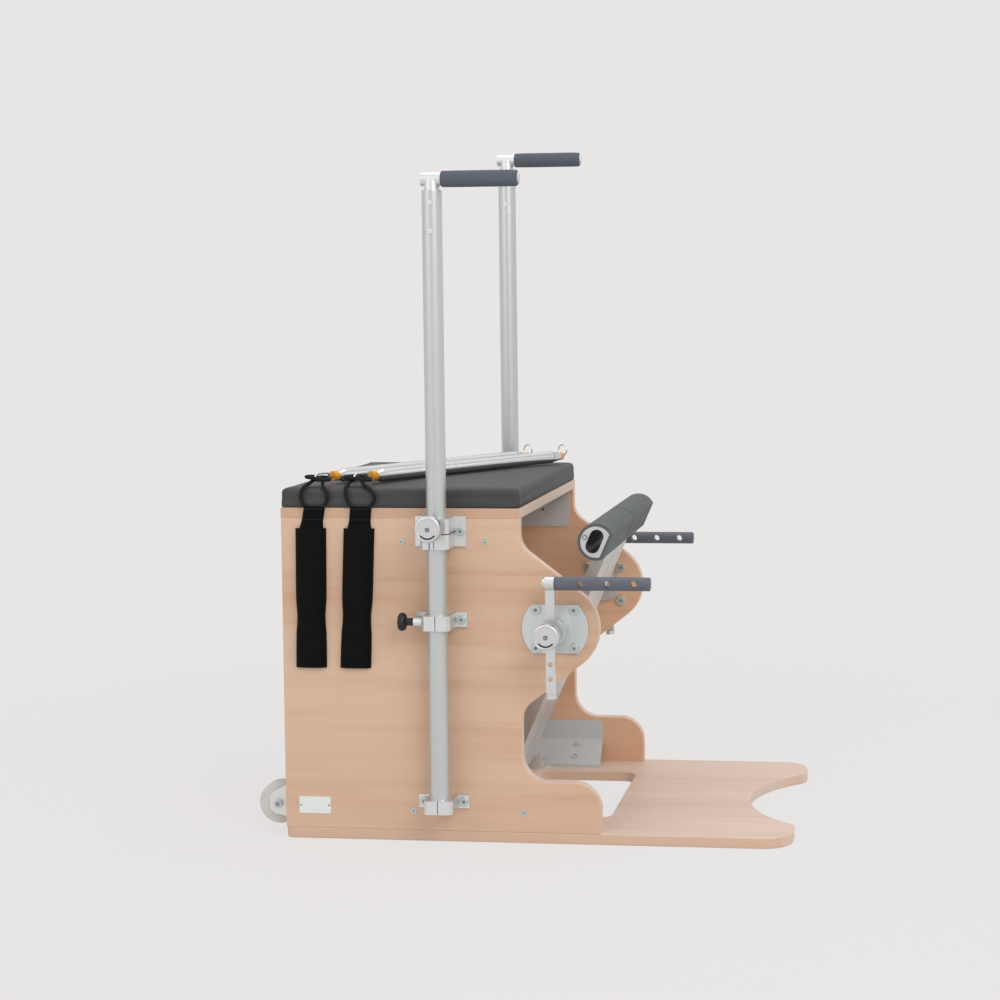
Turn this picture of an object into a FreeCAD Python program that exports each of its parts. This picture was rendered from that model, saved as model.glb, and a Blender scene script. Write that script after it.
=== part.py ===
"""Pilates chair: a ply box with a padded seat, a split sprung pedal, two height-set handle
poles, two swinging arm levers, transport wheels and two loose arm springs with straps.

Frame: +X towards the pedal, +Y towards the sitter's left, +Z up, origin on the floor under
the middle of the chair. All lengths are millimetres, all angles degrees.
"""

import FreeCAD
import Part

import math
import os
import re

SIZES = {
    # Base board, with a bay in its front edge and a window under the pedal arms
    "base_length": 954,
    "frame_width": 600,
    "base_thickness": 21,
    "base_front_corner_radius": 55,
    "base_rear_corner_radius": 12,
    "bay_shoulder_width": 45,
    "bay_depth": 100,
    "bay_lip_radius": 30,
    "window_reach": 600,
    "window_length": 210,
    "window_side_gap": 5.6,
    "window_corner_radius": 30,
    "edge_round_radius": 3,
    "seat_edge_round_radius": 1,
    # Side panels, with a round nose that carries the arm lever
    "panel_thickness": 21,
    "panel_rise_height": 203,
    "seat_length": 455,
    "hub_setback": 520,
    "hub_height": 403,
    "nose_radius": 82,
    "nose_angle": 37.5,
    "foot_height": 95,
    "foot_corner_radius": 50,
    "waist_fillet_share": 0.3,
    "foot_fillet_share": 0.374,
    "foot_round_share": 0.45,
    # Seat board and pad
    "seat_board_thickness": 19,
    "pad_thickness": 36,
    "pad_crown_height": 4,
    "pad_inset": 1,
    "pad_corner_radius": 16,
    "pad_roll_depth": 13,
    "pad_tuck_depth": 3,
    # Folded brackets inside the box
    "bracket_thickness": 3,
    "base_bracket_height": 88,
    "base_bracket_slope_width": 46,
    "base_bracket_foot_width": 20,
    "base_bracket_setback": 200,
    "base_bracket_length": 314,
    "seat_bracket_drop_height": 80,
    "seat_bracket_reach": 42,
    "seat_bracket_setback": 180,
    "seat_bracket_length": 266,
    "bracket_corner_radius": 12,
    # Screws through the side panels into the brackets
    "screw_head_radius": 5.5,
    "screw_head_height": 1.6,
    "screw_shank_radius": 2.5,
    "base_screw_setback": 247,
    "base_screw_pitch": 210,
    "base_screw_height": 57,
    "seat_screw_setback": 231,
    "seat_screw_pitch": 158,
    "seat_screw_drop": 44,
    # Rear rails
    "rail_setback": 22,
    "rail_thickness": 21,
    "lower_rail_height": 100,
    "upper_rail_bottom_height": 340,
    "upper_rail_height": 100,
    # Transport wheels
    "wheel_radius": 40,
    "wheel_width": 30,
    "wheel_setback": 25,
    "wheel_height": 56,
    "wheel_inset": 34,
    "wheel_rim_depth": 4,
    "wheel_hub_radius": 13,
    "wheel_tread_radius": 30,
    "wheel_axle_radius": 5,
    "wheel_nut_radius": 8,
    "wheel_nut_height": 5,
    "wheel_gap": 2,
    "ear_end_radius": 18,
    "ear_bottom_height": 30,
    "ear_top_height": 98,
    # Poles with tee handles
    "pole_radius": 18.5,
    "pole_wall": 3,
    "pole_setback": 307,
    "pole_offset": 36,
    "pole_bottom_height": 67,
    "pole_chamfer": 3,
    "right_handle_height": 1230,
    "left_handle_height": 1310,
    "handle_rise_height": 20,
    "index_hole_radius": 5,
    "index_pitch": 40,
    "index_count": 7,
    "tee_neck_radius": 14,
    "tee_bar_radius": 12.5,
    "tee_bar_rear_length": 19,
    "tee_bar_front_length": 18,
    "tee_spigot_length": 115,
    "grip_core_radius": 8,
    "grip_sleeve_length": 9,
    "grip_radius": 15.2,
    "grip_length": 142,
    "grip_end_radius": 4,
    "grip_cap_radius": 10,
    "grip_cap_height": 2,
    "pole_screw_drop": 43,
    "pole_screw_pitch": 52,
    "pole_screw_radius": 3,
    "pole_screw_head_radius": 5,
    "pole_screw_head_height": 2.5,
    # Pole clamps
    "clamp_wing_width": 96,
    "clamp_wing_thickness": 5,
    "clamp_block_width": 54,
    "clamp_depth": 59,
    "clamp_chamfer": 6,
    "clamp_slit_width": 2,
    "clamp_bolt_spread": 37.5,
    "clamp_bolt_radius": 8.5,
    "clamp_bolt_height": 5,
    "clamp_bolt_shank_radius": 4,
    "upper_clamp_drop": 51,
    "upper_clamp_height": 56,
    "middle_clamp_bottom_height": 405,
    "middle_clamp_height": 27,
    "lower_clamp_bottom_height": 65,
    "lower_clamp_height": 25,
    # Lock knobs, on the upper clamps and on the arm levers
    "knob_radius": 24,
    "knob_height": 22,
    "knob_round_radius": 3,
    "knob_neck_radius": 11,
    "knob_neck_length": 26,
    "knob_shank_radius": 4,
    "clamp_knob_drop": 9,
    # Index plungers on the middle clamps
    "plunger_pin_radius": 4.5,
    "plunger_engagement_depth": 2.5,
    "plunger_collar_radius": 8,
    "plunger_collar_length": 18,
    "plunger_stem_radius": 7,
    "plunger_stem_length": 14,
    "plunger_knob_radius": 15,
    "plunger_knob_height": 11,
    # Hubs and arm levers
    "hub_plate_radius": 62,
    "hub_plate_flat_height": 45,
    "hub_plate_thickness": 5,
    "hub_boss_radius": 26,
    "hub_boss_length": 33,
    "hub_shaft_radius": 11,
    "hub_bolt_spread": 35.5,
    "hub_bolt_head_radius": 9,
    "hub_bolt_head_height": 5,
    "hub_bolt_shank_radius": 4,
    "hub_nut_radius": 10,
    "hub_nut_height": 7,
    "crank_disc_radius": 35,
    "crank_disc_thickness": 8,
    "crank_boss_radius": 10,
    "crank_boss_height": 6,
    "crank_boss_throw_radius": 18,
    "crank_boss_angle": 65,
    "lever_width": 17,
    "lever_thickness": 8,
    "lever_collar_radius": 22,
    "lever_collar_length": 8,
    "lever_rise_height": 91,
    "lever_drop_height": 112,
    "lever_hole_radius": 4.5,
    "lever_hole_drop": 57,
    "lever_hole_pitch": 26.5,
    "lever_eye_radius": 12.5,
    "lever_foot_radius": 10,
    "lever_foot_length": 8,
    "peg_radius": 12.5,
    "peg_length": 176,
    "peg_hole_radius": 6.5,
    "peg_hole_setback": 47.5,
    "peg_hole_pitch": 49,
    "peg_hole_count": 3,
    "peg_round_radius": 3,
    "peg_bolt_head_radius": 8,
    "peg_bolt_head_height": 5,
    "peg_bolt_shank_radius": 4,
    # Pedal hinge
    "axle_setback": 372,
    "axle_height": 60,
    "axle_radius": 10,
    "axle_block_width": 22,
    "axle_block_length": 60,
    "axle_block_shoulder": 20,
    "axle_block_wall": 12,
    "axle_spacer_wall": 5,
    "axle_spacer_length": 47.2,
    # Split pedal, each half on its own arm
    "pedal_gap": 6,
    "pedal_end_inset": 15,
    "arm_plate_thickness": 4,
    "arm_depth": 22,
    "arm_face_offset": 14,
    "arm_sleeve_wall": 6,
    "arm_reach": 549,
    "arm_lean_angle": 23.9,
    "arm_hole_radius": 6.5,
    "arm_upper_hole_reach": 482,
    "arm_lower_hole_reach": 70,
    "pedal_core_radius": 29,
    "pedal_core_flat_depth": 17.5,
    "pedal_cover_thickness": 5.5,
    "pedal_slot_radius": 13,
    "pedal_slot_length": 46,
    "pedal_slot_offset": 3,
    "pedal_screw_radius": 3,
    "pedal_screw_height": 1.5,
    # Pedal springs
    "spring_pin_radius": 5,
    "spring_pin_reach": 166,
    "spring_pin_offset": 2,
    "spring_wire_radius": 2.2,
    "spring_coil_radius": 14,
    "spring_turn_count": 15,
    "spring_rod_radius": 2.5,
    "spring_rod_length": 40,
    "spring_cup_radius": 14,
    "spring_cup_height": 8,
    "anchor_reach": 22,
    "anchor_knuckle_radius": 8,
    "anchor_knuckle_length": 16,
    "anchor_shank_radius": 5,
    "anchor_flange_radius": 13,
    "anchor_flange_height": 4,
    # Bare plate on the right panel
    "badge_length": 61,
    "badge_height": 32,
    "badge_thickness": 1.5,
    "badge_setback": 27,
    "badge_bottom_height": 48,
    "badge_corner_radius": 3,
    "badge_rivet_radius": 1.5,
    "badge_rivet_inset": 5,
    # Loose arm springs that lie on the seat
    "arm_spring_wire_radius": 1.5,
    "arm_spring_coil_radius": 11.5,
    "arm_spring_turn_count": 34,
    "arm_spring_length": 500,
    "arm_spring_inset": 90,
    "front_spring_setback": 169,
    "rear_spring_setback": 94,
    "arm_spring_angle": 60.4,
    "arm_plug_radius": 12.8,
    "arm_plug_tip_radius": 8,
    "arm_near_plug_length": 14,
    "arm_far_plug_length": 28,
    "arm_sleeve_radius": 9.5,
    "arm_near_sleeve_length": 12,
    "arm_far_sleeve_length": 8,
    "arm_ring_radius": 11,
    "arm_ring_wire_radius": 1.3,
    "arm_eye_radius": 5,
    "arm_eye_wire_radius": 1.5,
    "arm_hook_wire_radius": 2,
    "arm_hook_shank_radius": 3,
    "arm_hook_shank_length": 6,
    "arm_hook_bend_radius": 7,
    "arm_hook_length": 22,
    # Hand straps and their cords
    "cord_radius": 3.5,
    "strap_tab_width": 40,
    "strap_tab_thickness": 8,
    "strap_tab_height": 26,
    "strap_neck_height": 14,
    "strap_width": 57,
    "strap_thickness": 15,
    "strap_length": 262,
    "strap_lift_height": 2,
    "strap_corner_radius": 2.5,
    "front_strap_setback": 146,
    "front_strap_drift_width": 9,
    "rear_strap_setback": 58,
    "rear_strap_drift_width": 1,
    # Fits
    "running_gap": 0.08,
    "seat_gap": 0.05,
    "clear_gap": 0.4,
    "overrun_length": 2,
}

# Words for places that several pieces share
REAR = "((wheel_setback + wheel_radius - base_length) / 2)"
FRONT = f"({REAR} + base_length)"
OUTSIDE = "(frame_width / 2)"
INSIDE = "(frame_width / 2 - panel_thickness)"
PANEL_TOP = "(hub_height + panel_rise_height)"
PAD_BOTTOM = f"({PANEL_TOP} + seat_board_thickness)"
PAD_TOP = f"({PAD_BOTTOM} + pad_thickness + pad_crown_height)"
HUB_X = f"({REAR} + hub_setback)"
POLE_X = f"({REAR} + pole_setback)"
POLE_Y = f"({OUTSIDE} + pole_offset)"
AXLE_X = f"({REAR} + axle_setback)"
LEVER_FACE = f"({OUTSIDE} + hub_plate_thickness + hub_boss_length + clear_gap)"
LEVER_Y = f"({LEVER_FACE} + lever_collar_length + lever_thickness / 2)"
PEG_Z = "(hub_height + lever_rise_height)"
WHEEL_Y = f"({INSIDE} - wheel_inset)"
SLOPE_END = "(base_bracket_slope_width + base_bracket_foot_width)"
BLOCK_OUTER = f"({INSIDE} - {SLOPE_END} - clear_gap)"
BLOCK_INNER = f"({BLOCK_OUTER} - axle_block_width)"
ARM_OUTER = f"({BLOCK_INNER} - axle_spacer_length - clear_gap)"
SIDES = {"right": -1, "left": 1}
AXES = {
    "x": FreeCAD.Vector(1, 0, 0),
    "y": FreeCAD.Vector(0, 1, 0),
    "z": FreeCAD.Vector(0, 0, 1),
}

doc = FreeCAD.newDocument("PilatesChair")
sheet = doc.addObject("Spreadsheet::Sheet", "Sizes")
for row, (alias, value) in enumerate(SIZES.items(), start=1):
    sheet.set(f"A{row}", alias)
    sheet.set(f"B{row}", str(value))
    sheet.setAlias(f"B{row}", alias)
doc.recompute()

nodes = []


def named(text):
    """Write an expression on the sheet's aliases in the document's own words."""
    return re.sub(
        r"[a-z][a-z_]*", lambda word: f"Sizes.{word[0]}" if word[0] in SIZES else word[0], text
    )


def mm(text):
    """The value of an expression on the sheet's aliases."""
    return float(sheet.evalExpression(named(text)))


def place(item, corner):
    for axis, text in zip("xyz", corner):
        item.setExpression(f"Placement.Base.{axis}", named(text))


def span(side, inner, outer):
    """The lower end, along Y, of a piece between two distances from the middle plane."""
    return inner if side > 0 else f"-({outer})"


def box(name, low, high):
    """A block between two corners, each written as three expressions."""
    item = doc.addObject("Part::Box", name)
    for prop, start, end in zip(("Length", "Width", "Height"), low, high):
        item.setExpression(prop, named(f"({end}) - ({start})"))
    place(item, low)
    return item


def side_box(name, side, x_span, reach, z_span):
    """A block on one side of the chair; reach is its distances from the middle plane."""
    other = span(side, reach[1], reach[0])
    return box(name, (x_span[0], span(side, *reach), z_span[0]), (x_span[1], other, z_span[1]))


def rod(name, radius, length, start, along):
    item = doc.addObject("Part::Cylinder", name)
    item.setExpression("Radius", named(radius))
    item.setExpression("Height", named(length))
    item.Placement.Rotation = FreeCAD.Rotation(AXES["z"], AXES[along])
    place(item, start)
    return item


def side_rod(name, side, radius, reach, x, z):
    """A cylinder along Y on one side of the chair, between two distances from the middle plane."""
    return rod(name, radius, f"({reach[1]}) - ({reach[0]})", (x, span(side, *reach), z), "y")


def fuse(name, pieces):
    item = doc.addObject("Part::MultiFuse", name)
    item.Shapes = pieces
    return item


def group(name, pieces):
    """Separate solids that share one node."""
    item = doc.addObject("Part::Compound", name)
    item.Links = pieces
    return item


def cut(name, base, tools):
    item = doc.addObject("Part::Cut", name)
    item.Base = base
    item.Tool = tools[0] if len(tools) == 1 else group(f"{name}_tools", tools)
    return item


def rounded(name, base, radius, wanted):
    """Fillet the edges of a piece that the test wanted picks."""
    doc.recompute()
    size = mm(radius)
    item = doc.addObject("Part::Fillet", name)
    item.Base = base
    item.Edges = [(at, size, size) for at, edge in enumerate(base.Shape.Edges, start=1) if wanted(edge)]
    return item


def solid(name, shape):
    item = doc.addObject("Part::Feature", name)
    item.Shape = shape
    return item


def node(name, item):
    item.Label = name
    nodes.append(item)
    return item


def outline(points, radii):
    """A closed wire through points, each corner rounded to its radius."""
    starts = []
    ends = []
    middles = []
    for at, (point, radius) in enumerate(zip(points, radii)):
        back = (points[at - 1] - point).normalize()
        onward = (points[(at + 1) % len(points)] - point).normalize()
        half = back.getAngle(onward) / 2
        bisector = (back + onward).normalize()
        starts.append(point + back * (radius / math.tan(half)))
        ends.append(point + onward * (radius / math.tan(half)))
        middles.append(point + bisector * (radius / math.sin(half) - radius))
    edges = []
    for at, radius in enumerate(radii):
        if radius:
            edges.append(Part.Arc(starts[at], middles[at], ends[at]).toShape())
        following = starts[(at + 1) % len(points)]
        if ends[at].distanceToPoint(following) > Part.Precision.confusion():
            edges.append(Part.LineSegment(ends[at], following).toShape())
    return Part.Wire(edges)


def plate(plane, corners, low, high):
    """A flat piece: an outline of (first, second, radius) corners in a plane, from low to high."""
    base = mm(low)
    places = {
        "xz": lambda first, second: FreeCAD.Vector(first, base, second),
        "xy": lambda first, second: FreeCAD.Vector(first, second, base),
        "yz": lambda first, second: FreeCAD.Vector(base, first, second),
    }
    across = {"xz": "y", "xy": "z", "yz": "x"}
    points = [places[plane](mm(first), mm(second)) for first, second, radius in corners]
    wire = outline(points, [mm(radius) for first, second, radius in corners])
    return Part.Face(wire).extrude(AXES[across[plane]] * (mm(high) - base))


def bore(radius, start, end):
    """A cylinder between two points, for holes in set shapes."""
    along = end - start
    return Part.makeCylinder(radius, along.Length, start, along)


def edges_on(shape, axis, levels):
    """The edges of a shape that lie wholly at one of some levels of an axis."""
    slack = Part.Precision.confusion()
    picked = []
    for edge in shape.Edges:
        low = getattr(edge.BoundBox, f"{axis}Min")
        high = getattr(edge.BoundBox, f"{axis}Max")
        if any(abs(low - level) < slack and abs(high - level) < slack for level in levels):
            picked.append(edge)
    return picked


# Base board
base_corners = [
    (REAR, f"-{OUTSIDE}", "base_rear_corner_radius"),
    (FRONT, f"-{OUTSIDE}", "base_front_corner_radius"),
    (FRONT, OUTSIDE, "base_front_corner_radius"),
    (REAR, OUTSIDE, "base_rear_corner_radius"),
]
WINDOW_FRONT = f"({REAR} + window_reach)"
WINDOW_REAR = f"({WINDOW_FRONT} - window_length)"
WINDOW_SIDE = f"({BLOCK_INNER} - window_side_gap)"
window_corners = [
    (WINDOW_REAR, f"-{WINDOW_SIDE}", "window_corner_radius"),
    (WINDOW_FRONT, f"-{WINDOW_SIDE}", "window_corner_radius"),
    (WINDOW_FRONT, WINDOW_SIDE, "window_corner_radius"),
    (WINDOW_REAR, WINDOW_SIDE, "window_corner_radius"),
]
BAY_HALF = f"({OUTSIDE} - base_front_corner_radius - bay_shoulder_width)"
bay_radius = mm(f"({BAY_HALF} ^ 2 + bay_depth ^ 2) / (2 * bay_depth)")
bay_middle = FreeCAD.Vector(mm(f"{FRONT} - bay_depth") + bay_radius, 0, 0)
board = plate("xy", base_corners, "0", "base_thickness")
board = board.cut(bore(bay_radius, bay_middle, bay_middle + AXES["z"] * mm("base_thickness")))
board = board.cut(plate("xy", window_corners, "0", "base_thickness"))
tip = mm(BAY_HALF)
front = mm(FRONT)
near = mm("edge_round_radius")
lips = []
for edge in board.Edges:
    middle = edge.CenterOfMass
    beside_tip = abs(middle.x - front) < near and abs(abs(middle.y) - tip) < near
    if beside_tip and edge.BoundBox.ZLength > mm("base_thickness / 2"):
        lips.append(edge)
board = board.makeFillet(mm("bay_lip_radius"), lips)
board = board.makeFillet(mm("edge_round_radius"), edges_on(board, "Z", (0, mm("base_thickness"))))
node("base_board", solid("BaseBoard", board))

# Side panels
NOSE_X = f"({HUB_X} + nose_radius / sin(nose_angle))"
WAIST_X = f"({REAR} + seat_length)"
NOSE_RISE = f"(({NOSE_X} - {WAIST_X}) * tan(nose_angle))"
FOOT_X = f"({HUB_X} + nose_radius)"
FOOT_TOP = "(base_thickness + foot_height)"
WAIST_RUN = f"(hub_height - {NOSE_RISE} - {FOOT_TOP})"
WAIST_FILLET = f"{WAIST_RUN} * waist_fillet_share"
FOOT_ROUND_LIMIT = f"({FOOT_X} - {WAIST_X}) * foot_round_share"
FOOT_FILLET = f"min({WAIST_RUN} * foot_fillet_share; {FOOT_ROUND_LIMIT})"
FOOT_ROUND = f"min(foot_corner_radius; {FOOT_ROUND_LIMIT})"
panel_corners = [
    (REAR, "base_thickness", "0"),
    (FOOT_X, "base_thickness", "0"),
    (FOOT_X, FOOT_TOP, FOOT_ROUND),
    (WAIST_X, FOOT_TOP, FOOT_FILLET),
    (WAIST_X, f"hub_height - {NOSE_RISE}", WAIST_FILLET),
    (NOSE_X, "hub_height", "nose_radius"),
    (WAIST_X, f"hub_height + {NOSE_RISE}", WAIST_FILLET),
    (WAIST_X, PANEL_TOP, "0"),
    (REAR, PANEL_TOP, "0"),
]
bolt_turns = ((-1, -1), (-1, 1), (1, -1), (1, 1))
hub_bolt_places = [
    (f"{HUB_X} + {across} * hub_bolt_spread", f"hub_height + {up} * hub_bolt_spread")
    for across, up in bolt_turns
]
panel_screw_places = [
    (f"{REAR} + base_screw_setback", "base_screw_height"),
    (f"{REAR} + base_screw_setback + base_screw_pitch", "base_screw_height"),
    (f"{REAR} + seat_screw_setback", f"{PANEL_TOP} - seat_screw_drop"),
    (f"{REAR} + seat_screw_setback + seat_screw_pitch", f"{PANEL_TOP} - seat_screw_drop"),
]
clamp_heights = {
    "upper": (f"({PANEL_TOP} - upper_clamp_drop)", "upper_clamp_height"),
    "middle": ("middle_clamp_bottom_height", "middle_clamp_height"),
    "lower": ("lower_clamp_bottom_height", "lower_clamp_height"),
}
clamp_bolt_places = [
    (f"{POLE_X} + {across} * clamp_bolt_spread", f"{bottom} + {height} / 2")
    for bottom, height in clamp_heights.values()
    for across in (-1, 1)
]
panel_holes = [(HUB_X, "hub_height", "hub_shaft_radius + overrun_length")]
panel_holes += [(x, z, "hub_bolt_shank_radius + seat_gap") for x, z in hub_bolt_places]
panel_holes += [(x, z, "screw_shank_radius + seat_gap") for x, z in panel_screw_places]
panel_holes += [(x, z, "clamp_bolt_shank_radius + seat_gap") for x, z in clamp_bolt_places]
for hand, side in SIDES.items():
    inner = side * mm(INSIDE)
    outer = side * mm(OUTSIDE)
    panel = plate("xz", panel_corners, f"{side} * {INSIDE}", f"{side} * {OUTSIDE}")
    seats = edges_on(panel, "Z", (mm("base_thickness"), mm(PANEL_TOP)))
    open_edges = [
        edge
        for edge in edges_on(panel, "Y", (inner, outer))
        if not any(edge.isSame(seat) for seat in seats)
    ]
    panel = panel.makeFillet(mm("edge_round_radius"), open_edges)
    for x, z, radius in panel_holes:
        start = FreeCAD.Vector(mm(x), inner, mm(z))
        panel = panel.cut(bore(mm(radius), start, FreeCAD.Vector(start.x, outer, start.z)))
    node(f"{hand}_side_panel", solid(f"{hand}Panel", panel))

# Seat board, flush with the panels all round
seat_block = box(
    "SeatBlock",
    (REAR, f"-{OUTSIDE}", PANEL_TOP),
    (WAIST_X, OUTSIDE, PAD_BOTTOM),
)
node("seat_board", rounded("SeatBoard", seat_block, "seat_edge_round_radius", lambda edge: True))

# Seat pad: sides tucked in at the board, a rolled top edge and a low crown
pad_level_shares = (0, 0.16, 0.5, 0.62, 0.77, 0.89, 0.97, 1)
pad_roll_shares = (0, 0, 0, 0.05, 0.2, 0.5, 0.8, 1)
pad_tuck_shares = (1, 0, 0, 0, 0, 0, 0, 0)
pad_crown_shares = ((0.12, 0.45), (0.3, 0.8), (0.6, 1))
pad_corner_growth_share = 0.25
pad_length = mm("seat_length - 2 * pad_inset")
pad_width = mm("frame_width - 2 * pad_inset")
pad_middle = mm(f"{REAR} + seat_length / 2")


def pad_ring(inset, height):
    """The pad's outline at a height, drawn in by an inset."""
    reach_x = pad_length / 2 - inset
    reach_y = pad_width / 2 - inset
    corners = [
        FreeCAD.Vector(pad_middle + turn_x * reach_x, turn_y * reach_y, height)
        for turn_x, turn_y in ((-1, -1), (1, -1), (1, 1), (-1, 1))
    ]
    return outline(corners, [mm("pad_corner_radius") + inset * pad_corner_growth_share] * len(corners))


pad_rings = []
for level, roll, tuck in zip(pad_level_shares, pad_roll_shares, pad_tuck_shares):
    pad_inset_here = roll * mm("pad_roll_depth") + tuck * mm("pad_tuck_depth")
    pad_rings.append(pad_ring(pad_inset_here, mm(PAD_BOTTOM) + level * mm("pad_thickness")))
for inset_share, rise_share in pad_crown_shares:
    crown_inset = mm("pad_roll_depth") + inset_share * (pad_length / 2 - mm("pad_roll_depth"))
    crown_height = mm(f"{PAD_BOTTOM} + pad_thickness") + rise_share * mm("pad_crown_height")
    pad_rings.append(pad_ring(crown_inset, crown_height))
node("seat_pad", solid("SeatPad", Part.makeLoft(pad_rings, True, True)))

# Folded brackets: sloping ones on the base, angles under the seat
FOLD = "(bracket_thickness * (sqrt(2) - 1))"
BRACKET_TOP = "(base_thickness + base_bracket_height)"
BRACKET_REAR = f"({REAR} + base_bracket_setback)"
ANGLE_REAR = f"({REAR} + seat_bracket_setback)"
base_brackets = []
seat_brackets = []
for hand, side in SIDES.items():
    inward = f"{-side}"
    wall = f"{side} * {INSIDE}"
    sloped = [
        (wall, BRACKET_TOP, "0"),
        (wall, "base_thickness + base_bracket_slope_width", "0"),
        (f"{wall} + {inward} * base_bracket_slope_width", "base_thickness", "0"),
        (f"{wall} + {inward} * {SLOPE_END}", "base_thickness", "0"),
        (f"{wall} + {inward} * {SLOPE_END}", "base_thickness + bracket_thickness", "0"),
        (
            f"{wall} + {inward} * (base_bracket_slope_width + {FOLD})",
            "base_thickness + bracket_thickness",
            "0",
        ),
        (
            f"{wall} + {inward} * bracket_thickness",
            f"base_thickness + base_bracket_slope_width + {FOLD}",
            "0",
        ),
        (f"{wall} + {inward} * bracket_thickness", BRACKET_TOP, "0"),
    ]
    folded = plate("yz", sloped, BRACKET_REAR, f"{BRACKET_REAR} + base_bracket_length")
    angled = [
        (wall, PANEL_TOP, "0"),
        (wall, f"{PANEL_TOP} - seat_bracket_drop_height", "0"),
        (f"{wall} + {inward} * bracket_thickness", f"{PANEL_TOP} - seat_bracket_drop_height", "0"),
        (f"{wall} + {inward} * bracket_thickness", f"{PANEL_TOP} - bracket_thickness", "0"),
        (f"{wall} + {inward} * seat_bracket_reach", f"{PANEL_TOP} - bracket_thickness", "0"),
        (f"{wall} + {inward} * seat_bracket_reach", PANEL_TOP, "0"),
    ]
    angle = plate("yz", angled, ANGLE_REAR, f"{ANGLE_REAR} + seat_bracket_length")
    top_corners = []
    top_level = mm(f"{BRACKET_TOP} - edge_round_radius")
    for edge in folded.Edges:
        if edge.BoundBox.ZMin > top_level and edge.BoundBox.XLength < mm("edge_round_radius"):
            top_corners.append(edge)
    folded = folded.makeFillet(mm("bracket_corner_radius"), top_corners)
    low_corners = []
    drop_level = mm(f"{PANEL_TOP} - seat_bracket_drop_height + edge_round_radius")
    for edge in angle.Edges:
        if edge.BoundBox.ZMax < drop_level and edge.BoundBox.XLength < mm("edge_round_radius"):
            low_corners.append(edge)
    angle = angle.makeFillet(mm("bracket_corner_radius"), low_corners)
    for x, z in panel_screw_places:
        start = FreeCAD.Vector(mm(x), side * mm(f"{INSIDE} - bracket_thickness"), mm(z))
        wall_place = FreeCAD.Vector(start.x, side * mm(INSIDE), start.z)
        hole = bore(mm("screw_shank_radius + seat_gap"), start, wall_place)
        folded = folded.cut(hole)
        angle = angle.cut(hole)
    base_brackets.append(solid(f"{hand}BaseBracket", folded))
    seat_brackets.append(solid(f"{hand}SeatBracket", angle))
node("base_brackets", group("BaseBrackets", base_brackets))
node("seat_brackets", group("SeatBrackets", seat_brackets))

# Screws through the panels into the brackets
screws = []
for hand, side in SIDES.items():
    for at, (x, z) in enumerate(panel_screw_places):
        head = side_rod(
            f"{hand}ScrewHead{at}",
            side,
            "screw_head_radius",
            (OUTSIDE, f"{OUTSIDE} + screw_head_height"),
            x,
            z,
        )
        shank = side_rod(
            f"{hand}ScrewShank{at}",
            side,
            "screw_shank_radius",
            (f"{INSIDE} - bracket_thickness", OUTSIDE),
            x,
            z,
        )
        screws.append(fuse(f"{hand}Screw{at}", [head, shank]))
node("panel_screws", group("PanelScrews", screws))

# Rails across the back
RAIL_REAR = f"({REAR} + rail_setback)"
RAIL_FRONT = f"({RAIL_REAR} + rail_thickness)"
node(
    "lower_rear_rail",
    box(
        "LowerRail",
        (RAIL_REAR, f"-{INSIDE}", "base_thickness"),
        (RAIL_FRONT, INSIDE, "base_thickness + lower_rail_height"),
    ),
)
node(
    "upper_rear_rail",
    box(
        "UpperRail",
        (RAIL_REAR, f"-{INSIDE}", "upper_rail_bottom_height"),
        (RAIL_FRONT, INSIDE, "upper_rail_bottom_height + upper_rail_height"),
    ),
)

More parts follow.
